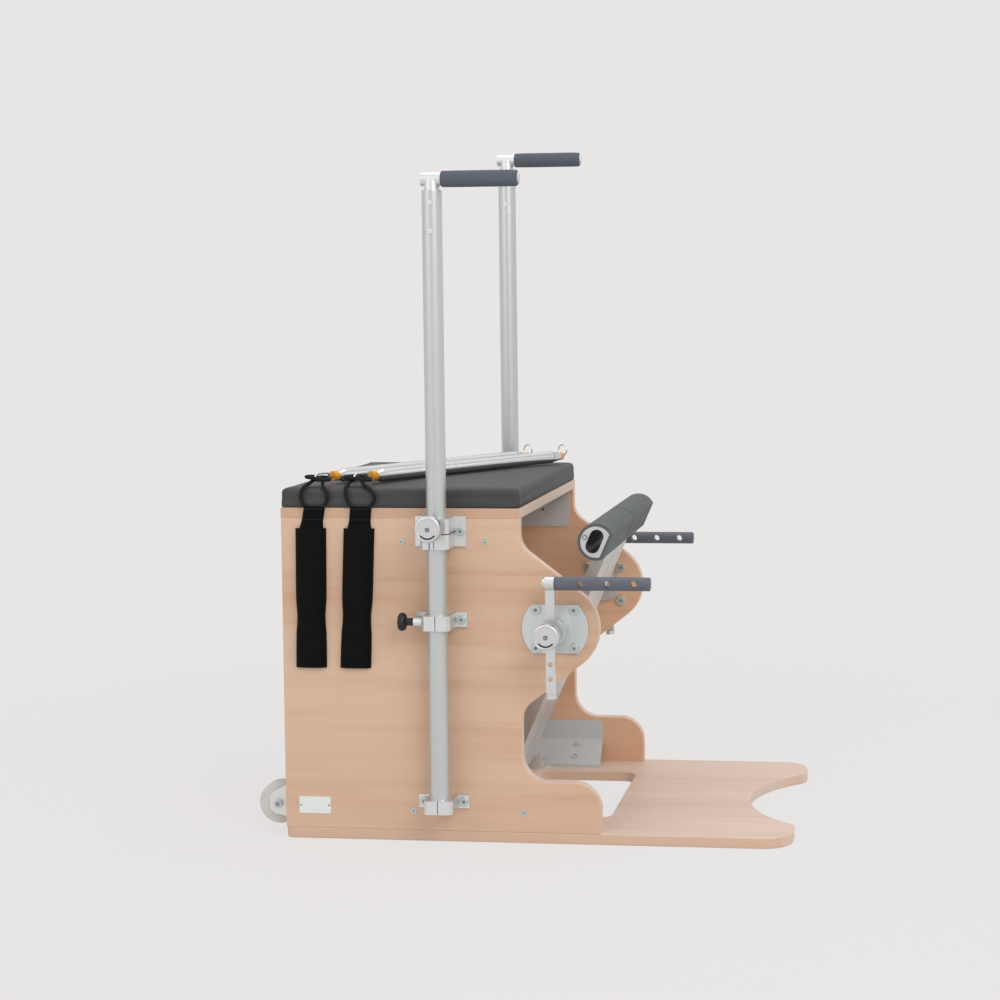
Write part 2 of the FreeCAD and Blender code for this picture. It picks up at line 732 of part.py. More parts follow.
# Transport wheels in forks on the lower rail
WHEEL_X = f"({REAR} - wheel_setback)"
EAR_INNER = f"({WHEEL_Y} - wheel_width / 2 - wheel_gap)"
EAR_OUTER = f"({WHEEL_Y} + wheel_width / 2 + wheel_gap)"
ear_corners = [
    (RAIL_REAR, "ear_bottom_height", "0"),
    (RAIL_REAR, "ear_top_height", "0"),
    (f"{RAIL_REAR} - bracket_thickness - ear_end_radius", "ear_top_height", "ear_end_radius"),
    (f"{WHEEL_X} - ear_end_radius", "wheel_height + ear_end_radius", "ear_end_radius"),
    (f"{WHEEL_X} - ear_end_radius", "wheel_height - ear_end_radius", "ear_end_radius"),
    (f"{RAIL_REAR} - bracket_thickness - ear_end_radius", "ear_bottom_height", "ear_end_radius"),
]
forks = []
wheel_axles = []
for hand, side in SIDES.items():
    ears = []
    for inner, outer in (
        (f"{EAR_INNER} - bracket_thickness", EAR_INNER),
        (EAR_OUTER, f"{EAR_OUTER} + bracket_thickness"),
    ):
        ear = plate("xz", ear_corners, f"{side} * ({inner})", f"{side} * ({outer})")
        start = FreeCAD.Vector(mm(WHEEL_X), side * mm(inner), mm("wheel_height"))
        end = FreeCAD.Vector(start.x, side * mm(outer), start.z)
        hole = bore(mm("wheel_axle_radius + seat_gap"), start, end)
        ears.append(solid(f"{hand}Ear{len(ears)}", ear.cut(hole)))
    back = side_box(
        f"{hand}ForkBack",
        side,
        (f"{RAIL_REAR} - bracket_thickness", RAIL_REAR),
        (f"{EAR_INNER} - bracket_thickness", f"{EAR_OUTER} + bracket_thickness"),
        ("ear_bottom_height", "ear_top_height"),
    )
    forks.append(fuse(f"{hand}Fork", ears + [back]))
    pin = side_rod(
        f"{hand}WheelPin",
        side,
        "wheel_axle_radius",
        (f"{EAR_INNER} - bracket_thickness", f"{EAR_OUTER} + bracket_thickness"),
        WHEEL_X,
        "wheel_height",
    )
    inner_nut = side_rod(
        f"{hand}InnerWheelNut",
        side,
        "wheel_nut_radius",
        (f"{EAR_INNER} - bracket_thickness - wheel_nut_height", f"{EAR_INNER} - bracket_thickness"),
        WHEEL_X,
        "wheel_height",
    )
    outer_nut = side_rod(
        f"{hand}OuterWheelNut",
        side,
        "wheel_nut_radius",
        (f"{EAR_OUTER} + bracket_thickness", f"{EAR_OUTER} + bracket_thickness + wheel_nut_height"),
        WHEEL_X,
        "wheel_height",
    )
    wheel_axles.append(fuse(f"{hand}WheelAxle", [pin, inner_nut, outer_nut]))
    half = "wheel_width / 2"
    tyre = side_rod(
        f"{hand}Tyre",
        side,
        "wheel_radius",
        (f"{WHEEL_Y} - {half}", f"{WHEEL_Y} + {half}"),
        WHEEL_X,
        "wheel_height",
    )
    tyre = rounded(
        f"{hand}RoundTyre", tyre, "edge_round_radius", lambda edge: edge.Curve.TypeId == "Part::GeomCircle"
    )
    dishes = []
    for near, far in (
        (f"{WHEEL_Y} - {half}", f"{WHEEL_Y} - {half} + wheel_rim_depth"),
        (f"{WHEEL_Y} + {half} - wheel_rim_depth", f"{WHEEL_Y} + {half}"),
    ):
        dish = side_rod(
            f"{hand}Dish{len(dishes)}", side, "wheel_tread_radius", (near, far), WHEEL_X, "wheel_height"
        )
        hub = side_rod(
            f"{hand}DishHub{len(dishes)}",
            side,
            "wheel_hub_radius",
            (near, far),
            WHEEL_X,
            "wheel_height",
        )
        dishes.append(cut(f"{hand}DishRing{len(dishes)}", dish, [hub]))
    wheel_bore = side_rod(
        f"{hand}WheelBore",
        side,
        "wheel_axle_radius + running_gap",
        (f"{WHEEL_Y} - {half}", f"{WHEEL_Y} + {half}"),
        WHEEL_X,
        "wheel_height",
    )
    node(f"{hand}_wheel", cut(f"{hand}Wheel", tyre, dishes + [wheel_bore]))
node("wheel_forks", group("WheelForks", forks))
node("wheel_axles", group("WheelAxles", wheel_axles))

# Pole clamps: a wing plate with a split block, three on each side
BLOCK_HALF = "clamp_block_width / 2"
clamp_section = [
    ("-clamp_wing_width / 2", "0", "0"),
    ("clamp_wing_width / 2", "0", "0"),
    ("clamp_wing_width / 2", "clamp_wing_thickness", "0"),
    (f"{BLOCK_HALF}", "clamp_wing_thickness", "0"),
    (f"{BLOCK_HALF}", "clamp_depth - clamp_chamfer", "0"),
    (f"{BLOCK_HALF} - clamp_chamfer", "clamp_depth", "0"),
    (f"-{BLOCK_HALF} + clamp_chamfer", "clamp_depth", "0"),
    (f"-{BLOCK_HALF}", "clamp_depth - clamp_chamfer", "0"),
    (f"-{BLOCK_HALF}", "clamp_wing_thickness", "0"),
    ("-clamp_wing_width / 2", "clamp_wing_thickness", "0"),
]
PLUNGER_Z = "(middle_clamp_bottom_height + middle_clamp_height / 2)"
CLAMP_KNOB_Z = f"({PANEL_TOP} - clamp_knob_drop)"
for hand, side in SIDES.items():
    section = [
        (f"{POLE_X} + {across}", f"{side} * ({OUTSIDE} + {out})", radius)
        for across, out, radius in clamp_section
    ]
    clamps = []
    for level, (bottom, height) in clamp_heights.items():
        top = f"{bottom} + {height}"
        low = FreeCAD.Vector(mm(POLE_X), side * mm(POLE_Y), mm(bottom))
        high = FreeCAD.Vector(low.x, low.y, mm(top))
        clamp = plate("xy", section, bottom, top)
        clamp = clamp.cut(bore(mm("pole_radius + running_gap"), low, high))
        slit_low = sorted((low.y, side * mm(f"{OUTSIDE} + clamp_depth")))[0]
        slit = Part.makeBox(
            mm("clamp_slit_width"),
            mm("clamp_depth - pole_offset"),
            mm(height),
            FreeCAD.Vector(mm(f"{POLE_X} - clamp_slit_width / 2"), slit_low, low.z),
        )
        clamp = clamp.cut(slit)
        for x, z in clamp_bolt_places:
            start = FreeCAD.Vector(mm(x), side * mm(OUTSIDE), mm(z))
            face = FreeCAD.Vector(start.x, side * mm(f"{OUTSIDE} + clamp_wing_thickness"), start.z)
            clamp = clamp.cut(bore(mm("clamp_bolt_shank_radius + seat_gap"), start, face))
        if level == "upper":
            knob_z = mm(CLAMP_KNOB_Z)
            start = FreeCAD.Vector(low.x, low.y, knob_z)
            face = FreeCAD.Vector(low.x, side * mm(f"{OUTSIDE} + clamp_depth"), knob_z)
            clamp = clamp.cut(bore(mm("knob_shank_radius + clear_gap"), start, face))
        if level == "middle":
            start = FreeCAD.Vector(mm(f"{POLE_X} - {BLOCK_HALF}"), low.y, mm(PLUNGER_Z))
            pole_place = FreeCAD.Vector(low.x, low.y, start.z)
            clamp = clamp.cut(bore(mm("plunger_pin_radius + clear_gap"), start, pole_place))
        clamps.append(solid(f"{hand}{level}Clamp", clamp))
    node(f"{hand}_pole_clamps", group(f"{hand}PoleClamps", clamps))

clamp_bolts = []
head_middle = mm(f"{OUTSIDE} + clamp_wing_thickness + clamp_bolt_height / 2")
for hand, side in SIDES.items():
    for at, (x, z) in enumerate(clamp_bolt_places):
        wing = f"{OUTSIDE} + clamp_wing_thickness"
        head = side_rod(
            f"{hand}ClampHead{at}",
            side,
            "clamp_bolt_radius",
            (wing, f"{wing} + clamp_bolt_height"),
            x,
            z,
        )
        head = rounded(
            f"{hand}ClampRoundHead{at}",
            head,
            "clamp_bolt_height / 2",
            lambda edge: abs(edge.CenterOfMass.y) > head_middle
            and edge.Curve.TypeId == "Part::GeomCircle",
        )
        shank = side_rod(f"{hand}ClampShank{at}", side, "clamp_bolt_shank_radius", (INSIDE, wing), x, z)
        clamp_bolts.append(fuse(f"{hand}ClampBolt{at}", [head, shank]))
node("clamp_bolts", group("ClampBolts", clamp_bolts))

# Handle poles: a closed tube with index holes down its rear, a tee on top and a foam grip
for hand, side in SIDES.items():
    handle_z = f"{hand}_handle_height"
    shoulder = f"({handle_z} - handle_rise_height)"
    foot = f"(pole_bottom_height + {handle_z} - right_handle_height)"
    centre_y = f"{side} * {POLE_Y}"
    skin = rod(f"{hand}PoleSkin", "pole_radius", f"{shoulder} - {foot}", (POLE_X, centre_y, foot), "z")
    skin = rounded(
        f"{hand}PoleRim",
        skin,
        "pole_chamfer / 2",
        lambda edge: edge.Curve.TypeId == "Part::GeomCircle",
    )
    inside = rod(
        f"{hand}PoleInside",
        "pole_radius - pole_wall",
        f"{shoulder} - {foot} - pole_wall",
        (POLE_X, centre_y, f"{foot} + pole_wall"),
        "z",
    )
    index_holes = []
    spare = f"(({handle_z} - right_handle_height) / index_pitch)"
    for at in range(round(mm("index_count"))):
        hole = rod(
            f"{hand}IndexHole{at}",
            "index_hole_radius",
            "pole_radius",
            (f"{POLE_X} - pole_radius", centre_y, f"{PLUNGER_Z} + ({spare} - {at}) * index_pitch"),
            "x",
        )
        index_holes.append(hole)
    cross_holes = []
    screws = []
    for at, drop in enumerate(("pole_screw_drop", "(pole_screw_drop + pole_screw_pitch)")):
        level = f"{handle_z} - {drop}"
        through = (
            f"{POLE_Y} - pole_radius - overrun_length", f"{POLE_Y} + pole_radius + overrun_length"
        )
        cross_holes.append(
            side_rod(
                f"{hand}CrossHole{at}", side, "pole_screw_radius + seat_gap", through, POLE_X, level
            )
        )
        shank = side_rod(
            f"{hand}PoleShank{at}",
            side,
            "pole_screw_radius",
            (f"{POLE_Y} - pole_radius", f"{POLE_Y} + pole_radius"),
            POLE_X, level,
        )
        heads = []
        for sign in (-1, 1):
            face = (f"{POLE_Y} + {sign} * pole_radius - pole_screw_head_height",
                    f"{POLE_Y} + {sign} * pole_radius + pole_screw_head_height")
            heads.append(
                side_rod(
                    f"{hand}PoleHead{at}{sign}", side, "pole_screw_head_radius", face, POLE_X, level
                ),
            )
            cross_holes.append(
                side_rod(
                    f"{hand}HeadSeat{at}{sign}",
                    side,
                    "pole_screw_head_radius + seat_gap",
                    face,
                    POLE_X,
                    level,
                )
            )
        screws.append(fuse(f"{hand}PoleScrew{at}", [shank] + heads))
    node(f"{hand}_pole", cut(f"{hand}Pole", skin, [inside] + index_holes + cross_holes))
    spigot = rod(
        f"{hand}Spigot",
        "pole_radius - pole_wall - seat_gap",
        "tee_spigot_length - handle_rise_height",
        (POLE_X, centre_y, f"{handle_z} - tee_spigot_length"),
        "z",
    )
    neck = rod(
        f"{hand}Neck", "tee_neck_radius", "handle_rise_height", (POLE_X, centre_y, shoulder), "z"
    )
    bar = rod(
        f"{hand}TeeBar",
        "tee_bar_radius",
        "tee_bar_rear_length + tee_bar_front_length",
        (f"{POLE_X} - tee_bar_rear_length", centre_y, handle_z),
        "x",
    )
    core = rod(
        f"{hand}GripCore",
        "grip_core_radius",
        "tee_bar_front_length + grip_length",
        (POLE_X, centre_y, handle_z),
        "x",
    )
    tee = fuse(f"{hand}TeeWhole", [spigot, neck, bar, core])
    tee = cut(f"{hand}Tee", tee, cross_holes[:1] + cross_holes[3:4])
    GRIP_X = f"({POLE_X} + tee_bar_front_length)"
    sleeve = rod(
        f"{hand}GripSleeve", "tee_bar_radius", "grip_length", (GRIP_X, centre_y, handle_z), "x"
    )
    foam = rod(
        f"{hand}GripFoam",
        "grip_radius",
        "grip_length - grip_sleeve_length",
        (f"{GRIP_X} + grip_sleeve_length", centre_y, handle_z),
        "x",
    )
    foam = rounded(
        f"{hand}GripRound",
        foam,
        "grip_end_radius",
        lambda edge: edge.Curve.TypeId == "Part::GeomCircle",
    )
    grip_bore = rod(
        f"{hand}GripBore",
        "grip_core_radius + seat_gap",
        "grip_length",
        (GRIP_X, centre_y, handle_z),
        "x",
    )
    node(f"{hand}_grip", cut(f"{hand}Grip", fuse(f"{hand}GripWhole", [sleeve, foam]), [grip_bore]))
    cap = rod(
        f"{hand}GripCap",
        "grip_cap_radius",
        "grip_cap_height",
        (f"{GRIP_X} + grip_length", centre_y, handle_z),
        "x",
    )
    node(f"{hand}_tee", group(f"{hand}TeeSet", [tee, cap] + screws))


def lock_knob(name, side, seat, x, z, shank_from):
    """A round knob on a neck whose shank goes into the piece that it locks."""
    neck_top = f"{seat} + clear_gap + knob_neck_length"
    shank = side_rod(
        f"{name}Shank", side, "knob_shank_radius", (shank_from, f"{seat} + clear_gap"), x, z
    )
    neck = side_rod(f"{name}Neck", side, "knob_neck_radius", (f"{seat} + clear_gap", neck_top), x, z)
    head = side_rod(f"{name}Head", side, "knob_radius", (neck_top, f"{neck_top} + knob_height"), x, z)
    head = rounded(
        f"{name}RoundHead", head, "knob_round_radius", lambda edge: edge.Curve.TypeId == "Part::GeomCircle"
    )
    return fuse(f"{name}Whole", [shank, neck, head])


# Lock knobs of the upper clamps, and index plungers on the middle clamps
collars = []
for hand, side in SIDES.items():
    node(
        f"{hand}_clamp_knob",
        lock_knob(
            f"{hand}ClampKnob", side, f"{OUTSIDE} + clamp_depth", POLE_X, CLAMP_KNOB_Z,
            f"{POLE_Y} + pole_radius + clear_gap",
        ),
    )
    centre_y = f"{side} * {POLE_Y}"
    block_rear = f"({POLE_X} - {BLOCK_HALF})"
    collar_rear = f"({block_rear} - plunger_collar_length)"
    collar = rod(
        f"{hand}Collar",
        "plunger_collar_radius",
        "plunger_collar_length",
        (collar_rear, centre_y, PLUNGER_Z),
        "x",
    )
    collar_bore = rod(
        f"{hand}CollarBore",
        "plunger_pin_radius + clear_gap",
        "plunger_collar_length",
        (collar_rear, centre_y, PLUNGER_Z),
        "x",
    )
    collars.append(cut(f"{hand}PlungerCollar", collar, [collar_bore]))
    stem_front = f"({collar_rear} - clear_gap)"
    knob_front = f"({stem_front} - plunger_stem_length)"
    pin_tip = f"({POLE_X} - pole_radius + plunger_engagement_depth)"
    pin = rod(
        f"{hand}Pin",
        "plunger_pin_radius",
        f"{pin_tip} - {stem_front}",
        (stem_front, centre_y, PLUNGER_Z),
        "x",
    )
    stem = rod(
        f"{hand}Stem",
        "plunger_stem_radius",
        "plunger_stem_length",
        (knob_front, centre_y, PLUNGER_Z),
        "x",
    )
    pull = rod(
        f"{hand}Pull",
        "plunger_knob_radius",
        "plunger_knob_height",
        (f"{knob_front} - plunger_knob_height", centre_y, PLUNGER_Z),
        "x",
    )
    pull = rounded(
        f"{hand}RoundPull", pull, "knob_round_radius", lambda edge: edge.Curve.TypeId == "Part::GeomCircle"
    )
    node(f"{hand}_plunger", fuse(f"{hand}Plunger", [pin, stem, pull]))
node("plunger_collars", group("PlungerCollars", collars))

# Hubs in the panel noses, each with a swinging lever and a cross peg
hub_bolts = []
hub_plates = []
for hand, side in SIDES.items():
    plate_face = f"({OUTSIDE} + hub_plate_thickness)"
    boss_face = f"({plate_face} + hub_boss_length)"
    disc = side_rod(
        f"{hand}HubDisc", side, "hub_plate_radius", (OUTSIDE, plate_face), HUB_X, "hub_height"
    )
    flats = side_box(
        f"{hand}HubFlats",
        side,
        (f"{HUB_X} - hub_plate_radius", f"{HUB_X} + hub_plate_radius"),
        (OUTSIDE, plate_face),
        ("hub_height - hub_plate_flat_height", "hub_height + hub_plate_flat_height"),
    )
    trimmed = doc.addObject("Part::Common", f"{hand}HubTrimmed")
    trimmed.Base = disc
    trimmed.Tool = flats
    boss = side_rod(
        f"{hand}HubBoss", side, "hub_boss_radius", (plate_face, boss_face), HUB_X, "hub_height"
    )
    holes = [
        side_rod(
            f"{hand}HubBore",
            side,
            "hub_shaft_radius + running_gap",
            (OUTSIDE, boss_face),
            HUB_X,
            "hub_height",
        )
    ]
    for at, (x, z) in enumerate(hub_bolt_places):
        holes.append(
            side_rod(
                f"{hand}HubHole{at}",
                side,
                "hub_bolt_shank_radius + seat_gap",
                (OUTSIDE, plate_face),
                x,
                z,
            )
        )
        head = side_rod(
            f"{hand}HubHead{at}",
            side,
            "hub_bolt_head_radius",
            (plate_face, f"{plate_face} + hub_bolt_head_height"),
            x,
            z,
        )
        shank = side_rod(
            f"{hand}HubShank{at}", side, "hub_bolt_shank_radius", (INSIDE, plate_face), x, z
        )
        nut = side_rod(
            f"{hand}HubNut{at}", side, "hub_nut_radius", (f"{INSIDE} - hub_nut_height", INSIDE), x, z
        )
        hub_bolts.append(fuse(f"{hand}HubBolt{at}", [head, shank, nut]))
    hub_plates.append(cut(f"{hand}HubPlate", fuse(f"{hand}HubWhole", [trimmed, boss]), holes))

    bar_inner = f"({LEVER_FACE} + lever_collar_length)"
    bar_outer = f"({bar_inner} + lever_thickness)"
    crank_outer = f"({INSIDE} - clear_gap)"
    shaft = side_rod(
        f"{hand}Shaft", side, "hub_shaft_radius", (crank_outer, LEVER_FACE), HUB_X, "hub_height"
    )
    lever_collar = side_rod(
        f"{hand}LeverCollar", side, "lever_collar_radius", (LEVER_FACE, bar_inner), HUB_X, "hub_height"
    )
    flat_bar = side_box(
        f"{hand}LeverBar",
        side,
        (f"{HUB_X} - lever_width / 2", f"{HUB_X} + lever_width / 2"),
        (bar_inner, bar_outer),
        ("hub_height - lever_drop_height", PEG_Z),
    )
    eye = rod(
        f"{hand}LeverEye",
        "lever_eye_radius",
        "lever_width",
        (f"{HUB_X} - lever_width / 2", f"{side} * {LEVER_Y}", PEG_Z),
        "x",
    )
    foot = rod(
        f"{hand}LeverFoot",
        "lever_foot_radius",
        "lever_foot_length",
        (HUB_X, f"{side} * {LEVER_Y}", "hub_height - lever_drop_height - lever_foot_length"),
        "z",
    )
    lever_holes = [
        side_rod(
            f"{hand}LeverHole{at}",
            side,
            "lever_hole_radius",
            (bar_inner, bar_outer),
            HUB_X,
            f"hub_height - lever_hole_drop - {at} * lever_hole_pitch",
        )
        for at in range(2)
    ]
    lever_holes.append(
        side_rod(
            f"{hand}KnobHole",
            side,
            "knob_shank_radius + clear_gap",
            (bar_inner, bar_outer),
            HUB_X,
            "hub_height",
        )
    )
    lever_holes.append(
        rod(
            f"{hand}EyeHole",
            "peg_bolt_shank_radius + seat_gap",
            "lever_width",
            (f"{HUB_X} - lever_width / 2", f"{side} * {LEVER_Y}", PEG_Z),
            "x",
        )
    )
    lever = fuse(f"{hand}LeverWhole", [shaft, lever_collar, flat_bar, eye, foot])
    lever = cut(f"{hand}Lever", lever, lever_holes)
    crank_inner = f"({crank_outer} - crank_disc_thickness)"
    crank = side_rod(
        f"{hand}CrankDisc", side, "crank_disc_radius", (crank_inner, crank_outer), HUB_X, "hub_height"
    )
    crank_boss = side_rod(
        f"{hand}CrankBoss",
        side,
        "crank_boss_radius",
        (f"{crank_inner} - crank_boss_height", crank_inner),
        f"{HUB_X} + crank_boss_throw_radius * cos(crank_boss_angle)",
        "hub_height + crank_boss_throw_radius * sin(crank_boss_angle)",
    )
    crank = fuse(f"{hand}Crank", [crank, crank_boss])
    peg_start = f"({HUB_X} + lever_width / 2)"
    peg = rod(
        f"{hand}PegRod", "peg_radius", "peg_length", (peg_start, f"{side} * {LEVER_Y}", PEG_Z), "x"
    )
    peg = rounded(
        f"{hand}PegRound", peg, "peg_round_radius", lambda edge: edge.Curve.TypeId == "Part::GeomCircle"
    )
    peg_holes = [
        side_rod(
            f"{hand}PegHole{at}",
            side,
            "peg_hole_radius",
            (f"{LEVER_Y} - peg_radius - overrun_length", f"{LEVER_Y} + peg_radius + overrun_length"),
            f"{peg_start} + peg_hole_setback + {at} * peg_hole_pitch",
            PEG_Z,
        )
        for at in range(round(mm("peg_hole_count")))
    ]
    node(f"{hand}_peg", cut(f"{hand}Peg", peg, peg_holes))
    bolt_head = rod(
        f"{hand}PegBoltHead",
        "peg_bolt_head_radius",
        "peg_bolt_head_height",
        (f"{HUB_X} - lever_width / 2 - peg_bolt_head_height", f"{side} * {LEVER_Y}", PEG_Z),
        "x",
    )
    bolt_shank = rod(
        f"{hand}PegBoltShank",
        "peg_bolt_shank_radius",
        "lever_width",
        (f"{HUB_X} - lever_width / 2", f"{side} * {LEVER_Y}", PEG_Z),
        "x",
    )
    peg_bolt = fuse(f"{hand}PegBolt", [bolt_head, bolt_shank])
    node(f"{hand}_lever", group(f"{hand}LeverSet", [lever, crank, peg_bolt]))
    node(
        f"{hand}_hub_knob",
        lock_knob(f"{hand}HubKnob", side, bar_outer, HUB_X, "hub_height", bar_inner),
    )
node("hub_plates", group("HubPlates", hub_plates))
node("hub_bolts", group("HubBolts", hub_bolts))

# Pedal hinge: an axle in two blocks on the base, spaced off the arms
axle_blocks = []
for hand, side in SIDES.items():
    foot_block = side_box(
        f"{hand}BlockFoot",
        side,
        (f"{AXLE_X} - axle_block_length / 2", f"{AXLE_X} + axle_block_length / 2"),
        (BLOCK_INNER, BLOCK_OUTER),
        ("base_thickness", "base_thickness + axle_block_shoulder"),
    )
    post = side_box(
        f"{hand}BlockPost",
        side,
        (f"{AXLE_X} - axle_radius - axle_block_wall", f"{AXLE_X} + axle_radius + axle_block_wall"),
        (BLOCK_INNER, BLOCK_OUTER),
        ("base_thickness", "axle_height"),
    )
    crown = side_rod(
        f"{hand}BlockCrown",
        side,
        "axle_radius + axle_block_wall",
        (BLOCK_INNER, BLOCK_OUTER),
        AXLE_X,
        "axle_height",
    )
    block_bore = side_rod(
        f"{hand}BlockBore",
        side,
        "axle_radius + seat_gap",
        (BLOCK_INNER, BLOCK_OUTER),
        AXLE_X,
        "axle_height",
    )
    axle_blocks.append(
        cut(f"{hand}Block", fuse(f"{hand}BlockWhole", [foot_block, post, crown]), [block_bore])
    )
node("axle_blocks", group("AxleBlocks", axle_blocks))
pedal_axle = rod(
    "PedalAxleRod", "axle_radius", f"2 * {BLOCK_OUTER}", (AXLE_X, f"-{BLOCK_OUTER}", "axle_height"), "y"
)
spacers = []
for hand, side in SIDES.items():
    spacers.append(
        side_rod(
            f"{hand}Spacer",
            side,
            "axle_radius + axle_spacer_wall",
            (f"{ARM_OUTER} + clear_gap", BLOCK_INNER),
            AXLE_X,
            "axle_height",
        )
    )
node("pedal_axle", fuse("PedalAxle", [pedal_axle] + spacers))

# Split pedal: channel arms up from the axle, each with a padded D bar.
# The arms are drawn upright about the axle and then leaned forward.
arm_lean = FreeCAD.Placement(
    FreeCAD.Vector(mm(AXLE_X), 0, mm("axle_height")),
    FreeCAD.Rotation(AXES["y"], mm("arm_lean_angle")),
)


def lean(item):
    item.Placement = arm_lean
    return item


def d_bar(radius, flat, low, high):
    """A round bar along Y with a flat on its front, about the pedal's middle."""
    middle = FreeCAD.Vector(0, low, mm("arm_reach"))
    whole = Part.makeCylinder(radius, high - low, middle, AXES["y"])
    keep = Part.makeBox(
        radius + flat, high - low, 2 * radius, FreeCAD.Vector(-radius, low, mm("arm_reach") - radius)
    )
    return whole.common(keep)


for hand, side in SIDES.items():
    low, high = sorted((side * mm("pedal_gap / 2"), side * mm(ARM_OUTER)))
    width = high - low
    face = mm("arm_face_offset")
    skin = mm("arm_plate_thickness")
    depth = mm("arm_depth")
    reach = mm("arm_reach")
    front_plate = Part.makeBox(skin, width, reach, FreeCAD.Vector(face - skin, low, 0))
    cheeks = [
        Part.makeBox(depth, skin, reach, FreeCAD.Vector(face - depth, y, 0))
        for y in (low, high - skin)
    ]
    sleeve_radius = mm("axle_radius + arm_sleeve_wall")
    sleeve = Part.makeCylinder(sleeve_radius, width, FreeCAD.Vector(0, low, 0), AXES["y"])
    arm = front_plate.fuse(cheeks + [sleeve])
    core_space = Part.makeCylinder(
        mm("pedal_core_radius"), width, FreeCAD.Vector(0, low, reach), AXES["y"]
    )
    arm = arm.cut(core_space)
    top = Part.makeBox(
        2 * reach, width, reach, FreeCAD.Vector(-reach, low, reach - mm("pedal_core_flat_depth"))
    )
    arm = arm.cut(top)
    axle_space = Part.makeCylinder(
        mm("axle_radius + running_gap"), width, FreeCAD.Vector(0, low, 0), AXES["y"]
    )
    arm = arm.cut(axle_space)
    middle_y = (low + high) / 2
    for level in ("arm_upper_hole_reach", "arm_lower_hole_reach"):
        start = FreeCAD.Vector(face - skin, middle_y, mm(level))
        arm = arm.cut(bore(mm("arm_hole_radius"), start, start + AXES["x"] * skin))
    pin_x = mm("-spring_pin_offset")
    pin_z = mm("spring_pin_reach")
    pin_start = FreeCAD.Vector(pin_x, low, pin_z)
    arm = arm.cut(bore(mm("spring_pin_radius + seat_gap"), pin_start, pin_start + AXES["y"] * width))
    spring_pin = bore(mm("spring_pin_radius"), pin_start, pin_start + AXES["y"] * width)
    arm_set = [lean(solid(f"{hand}Arm", arm)), lean(solid(f"{hand}SpringPin", spring_pin))]
    node(f"{hand}_pedal_arm", group(f"{hand}ArmSet", arm_set))

    low, high = sorted((side * mm("pedal_gap / 2"), side * mm(f"{OUTSIDE} - pedal_end_inset")))
    core = d_bar(mm("pedal_core_radius"), mm("pedal_core_flat_depth"), low, high)
    slot_half = mm("pedal_slot_length / 2 - pedal_slot_radius")
    slot_side = mm("(pedal_core_flat_depth - pedal_core_radius) / 2 + pedal_slot_offset")
    slot_box = Part.makeBox(
        mm("2 * pedal_slot_radius"),
        high - low,
        2 * slot_half,
        FreeCAD.Vector(slot_side - mm("pedal_slot_radius"), low, reach - slot_half),
    )
    core = core.cut(slot_box)
    for turn in (-1, 1):
        end_middle = FreeCAD.Vector(slot_side, low, reach + turn * slot_half)
        core = core.cut(Part.makeCylinder(mm("pedal_slot_radius"), high - low, end_middle, AXES["y"]))
    tip_y = high if side > 0 else low - mm("pedal_screw_height")
    screw_x = (slot_side - mm("pedal_slot_radius") - mm("pedal_core_radius")) / 2
    screw = Part.makeCylinder(
        mm("pedal_screw_radius"),
        mm("pedal_screw_height"),
        FreeCAD.Vector(screw_x, tip_y, reach),
        AXES["y"],
    )
    node(f"{hand}_pedal_core", lean(solid(f"{hand}Core", core.fuse(screw))))
    cover = d_bar(
        mm("pedal_core_radius + pedal_cover_thickness"),
        mm("pedal_core_flat_depth + pedal_cover_thickness"),
        low,
        high,
    )
    cover = cover.cut(d_bar(mm("pedal_core_radius"), mm("pedal_core_flat_depth"), low, high))
    node(f"{hand}_pedal_cover", lean(solid(f"{hand}Cover", cover.cut(arm))))

# Wound springs: one unbroken tube, each quarter turn a pair of tangent arcs


def arc_between(start, heading, end):
    """The arc from start, along heading, to end, and its heading there."""
    chord = end - start
    along = FreeCAD.Vector(chord).normalize()
    rise = heading - along * heading.dot(along)
    bend = heading.getAngle(chord)
    middle = (start + end) / 2 + rise.normalize() * (chord.Length / 2 * math.tan(bend / 2))
    leaving = along * (2 * along.dot(heading)) - heading
    return Part.Arc(start, middle, end).toShape(), leaving


def coil_room(radius, length, turns, wire_radius):
    """What a coil's straight ends need between their middles and the faces at a length's two ends."""
    climb = math.atan2(length / turns, 2 * math.pi * radius)
    return wire_radius + 2 * wire_radius * math.sin(climb) + mm("clear_gap")


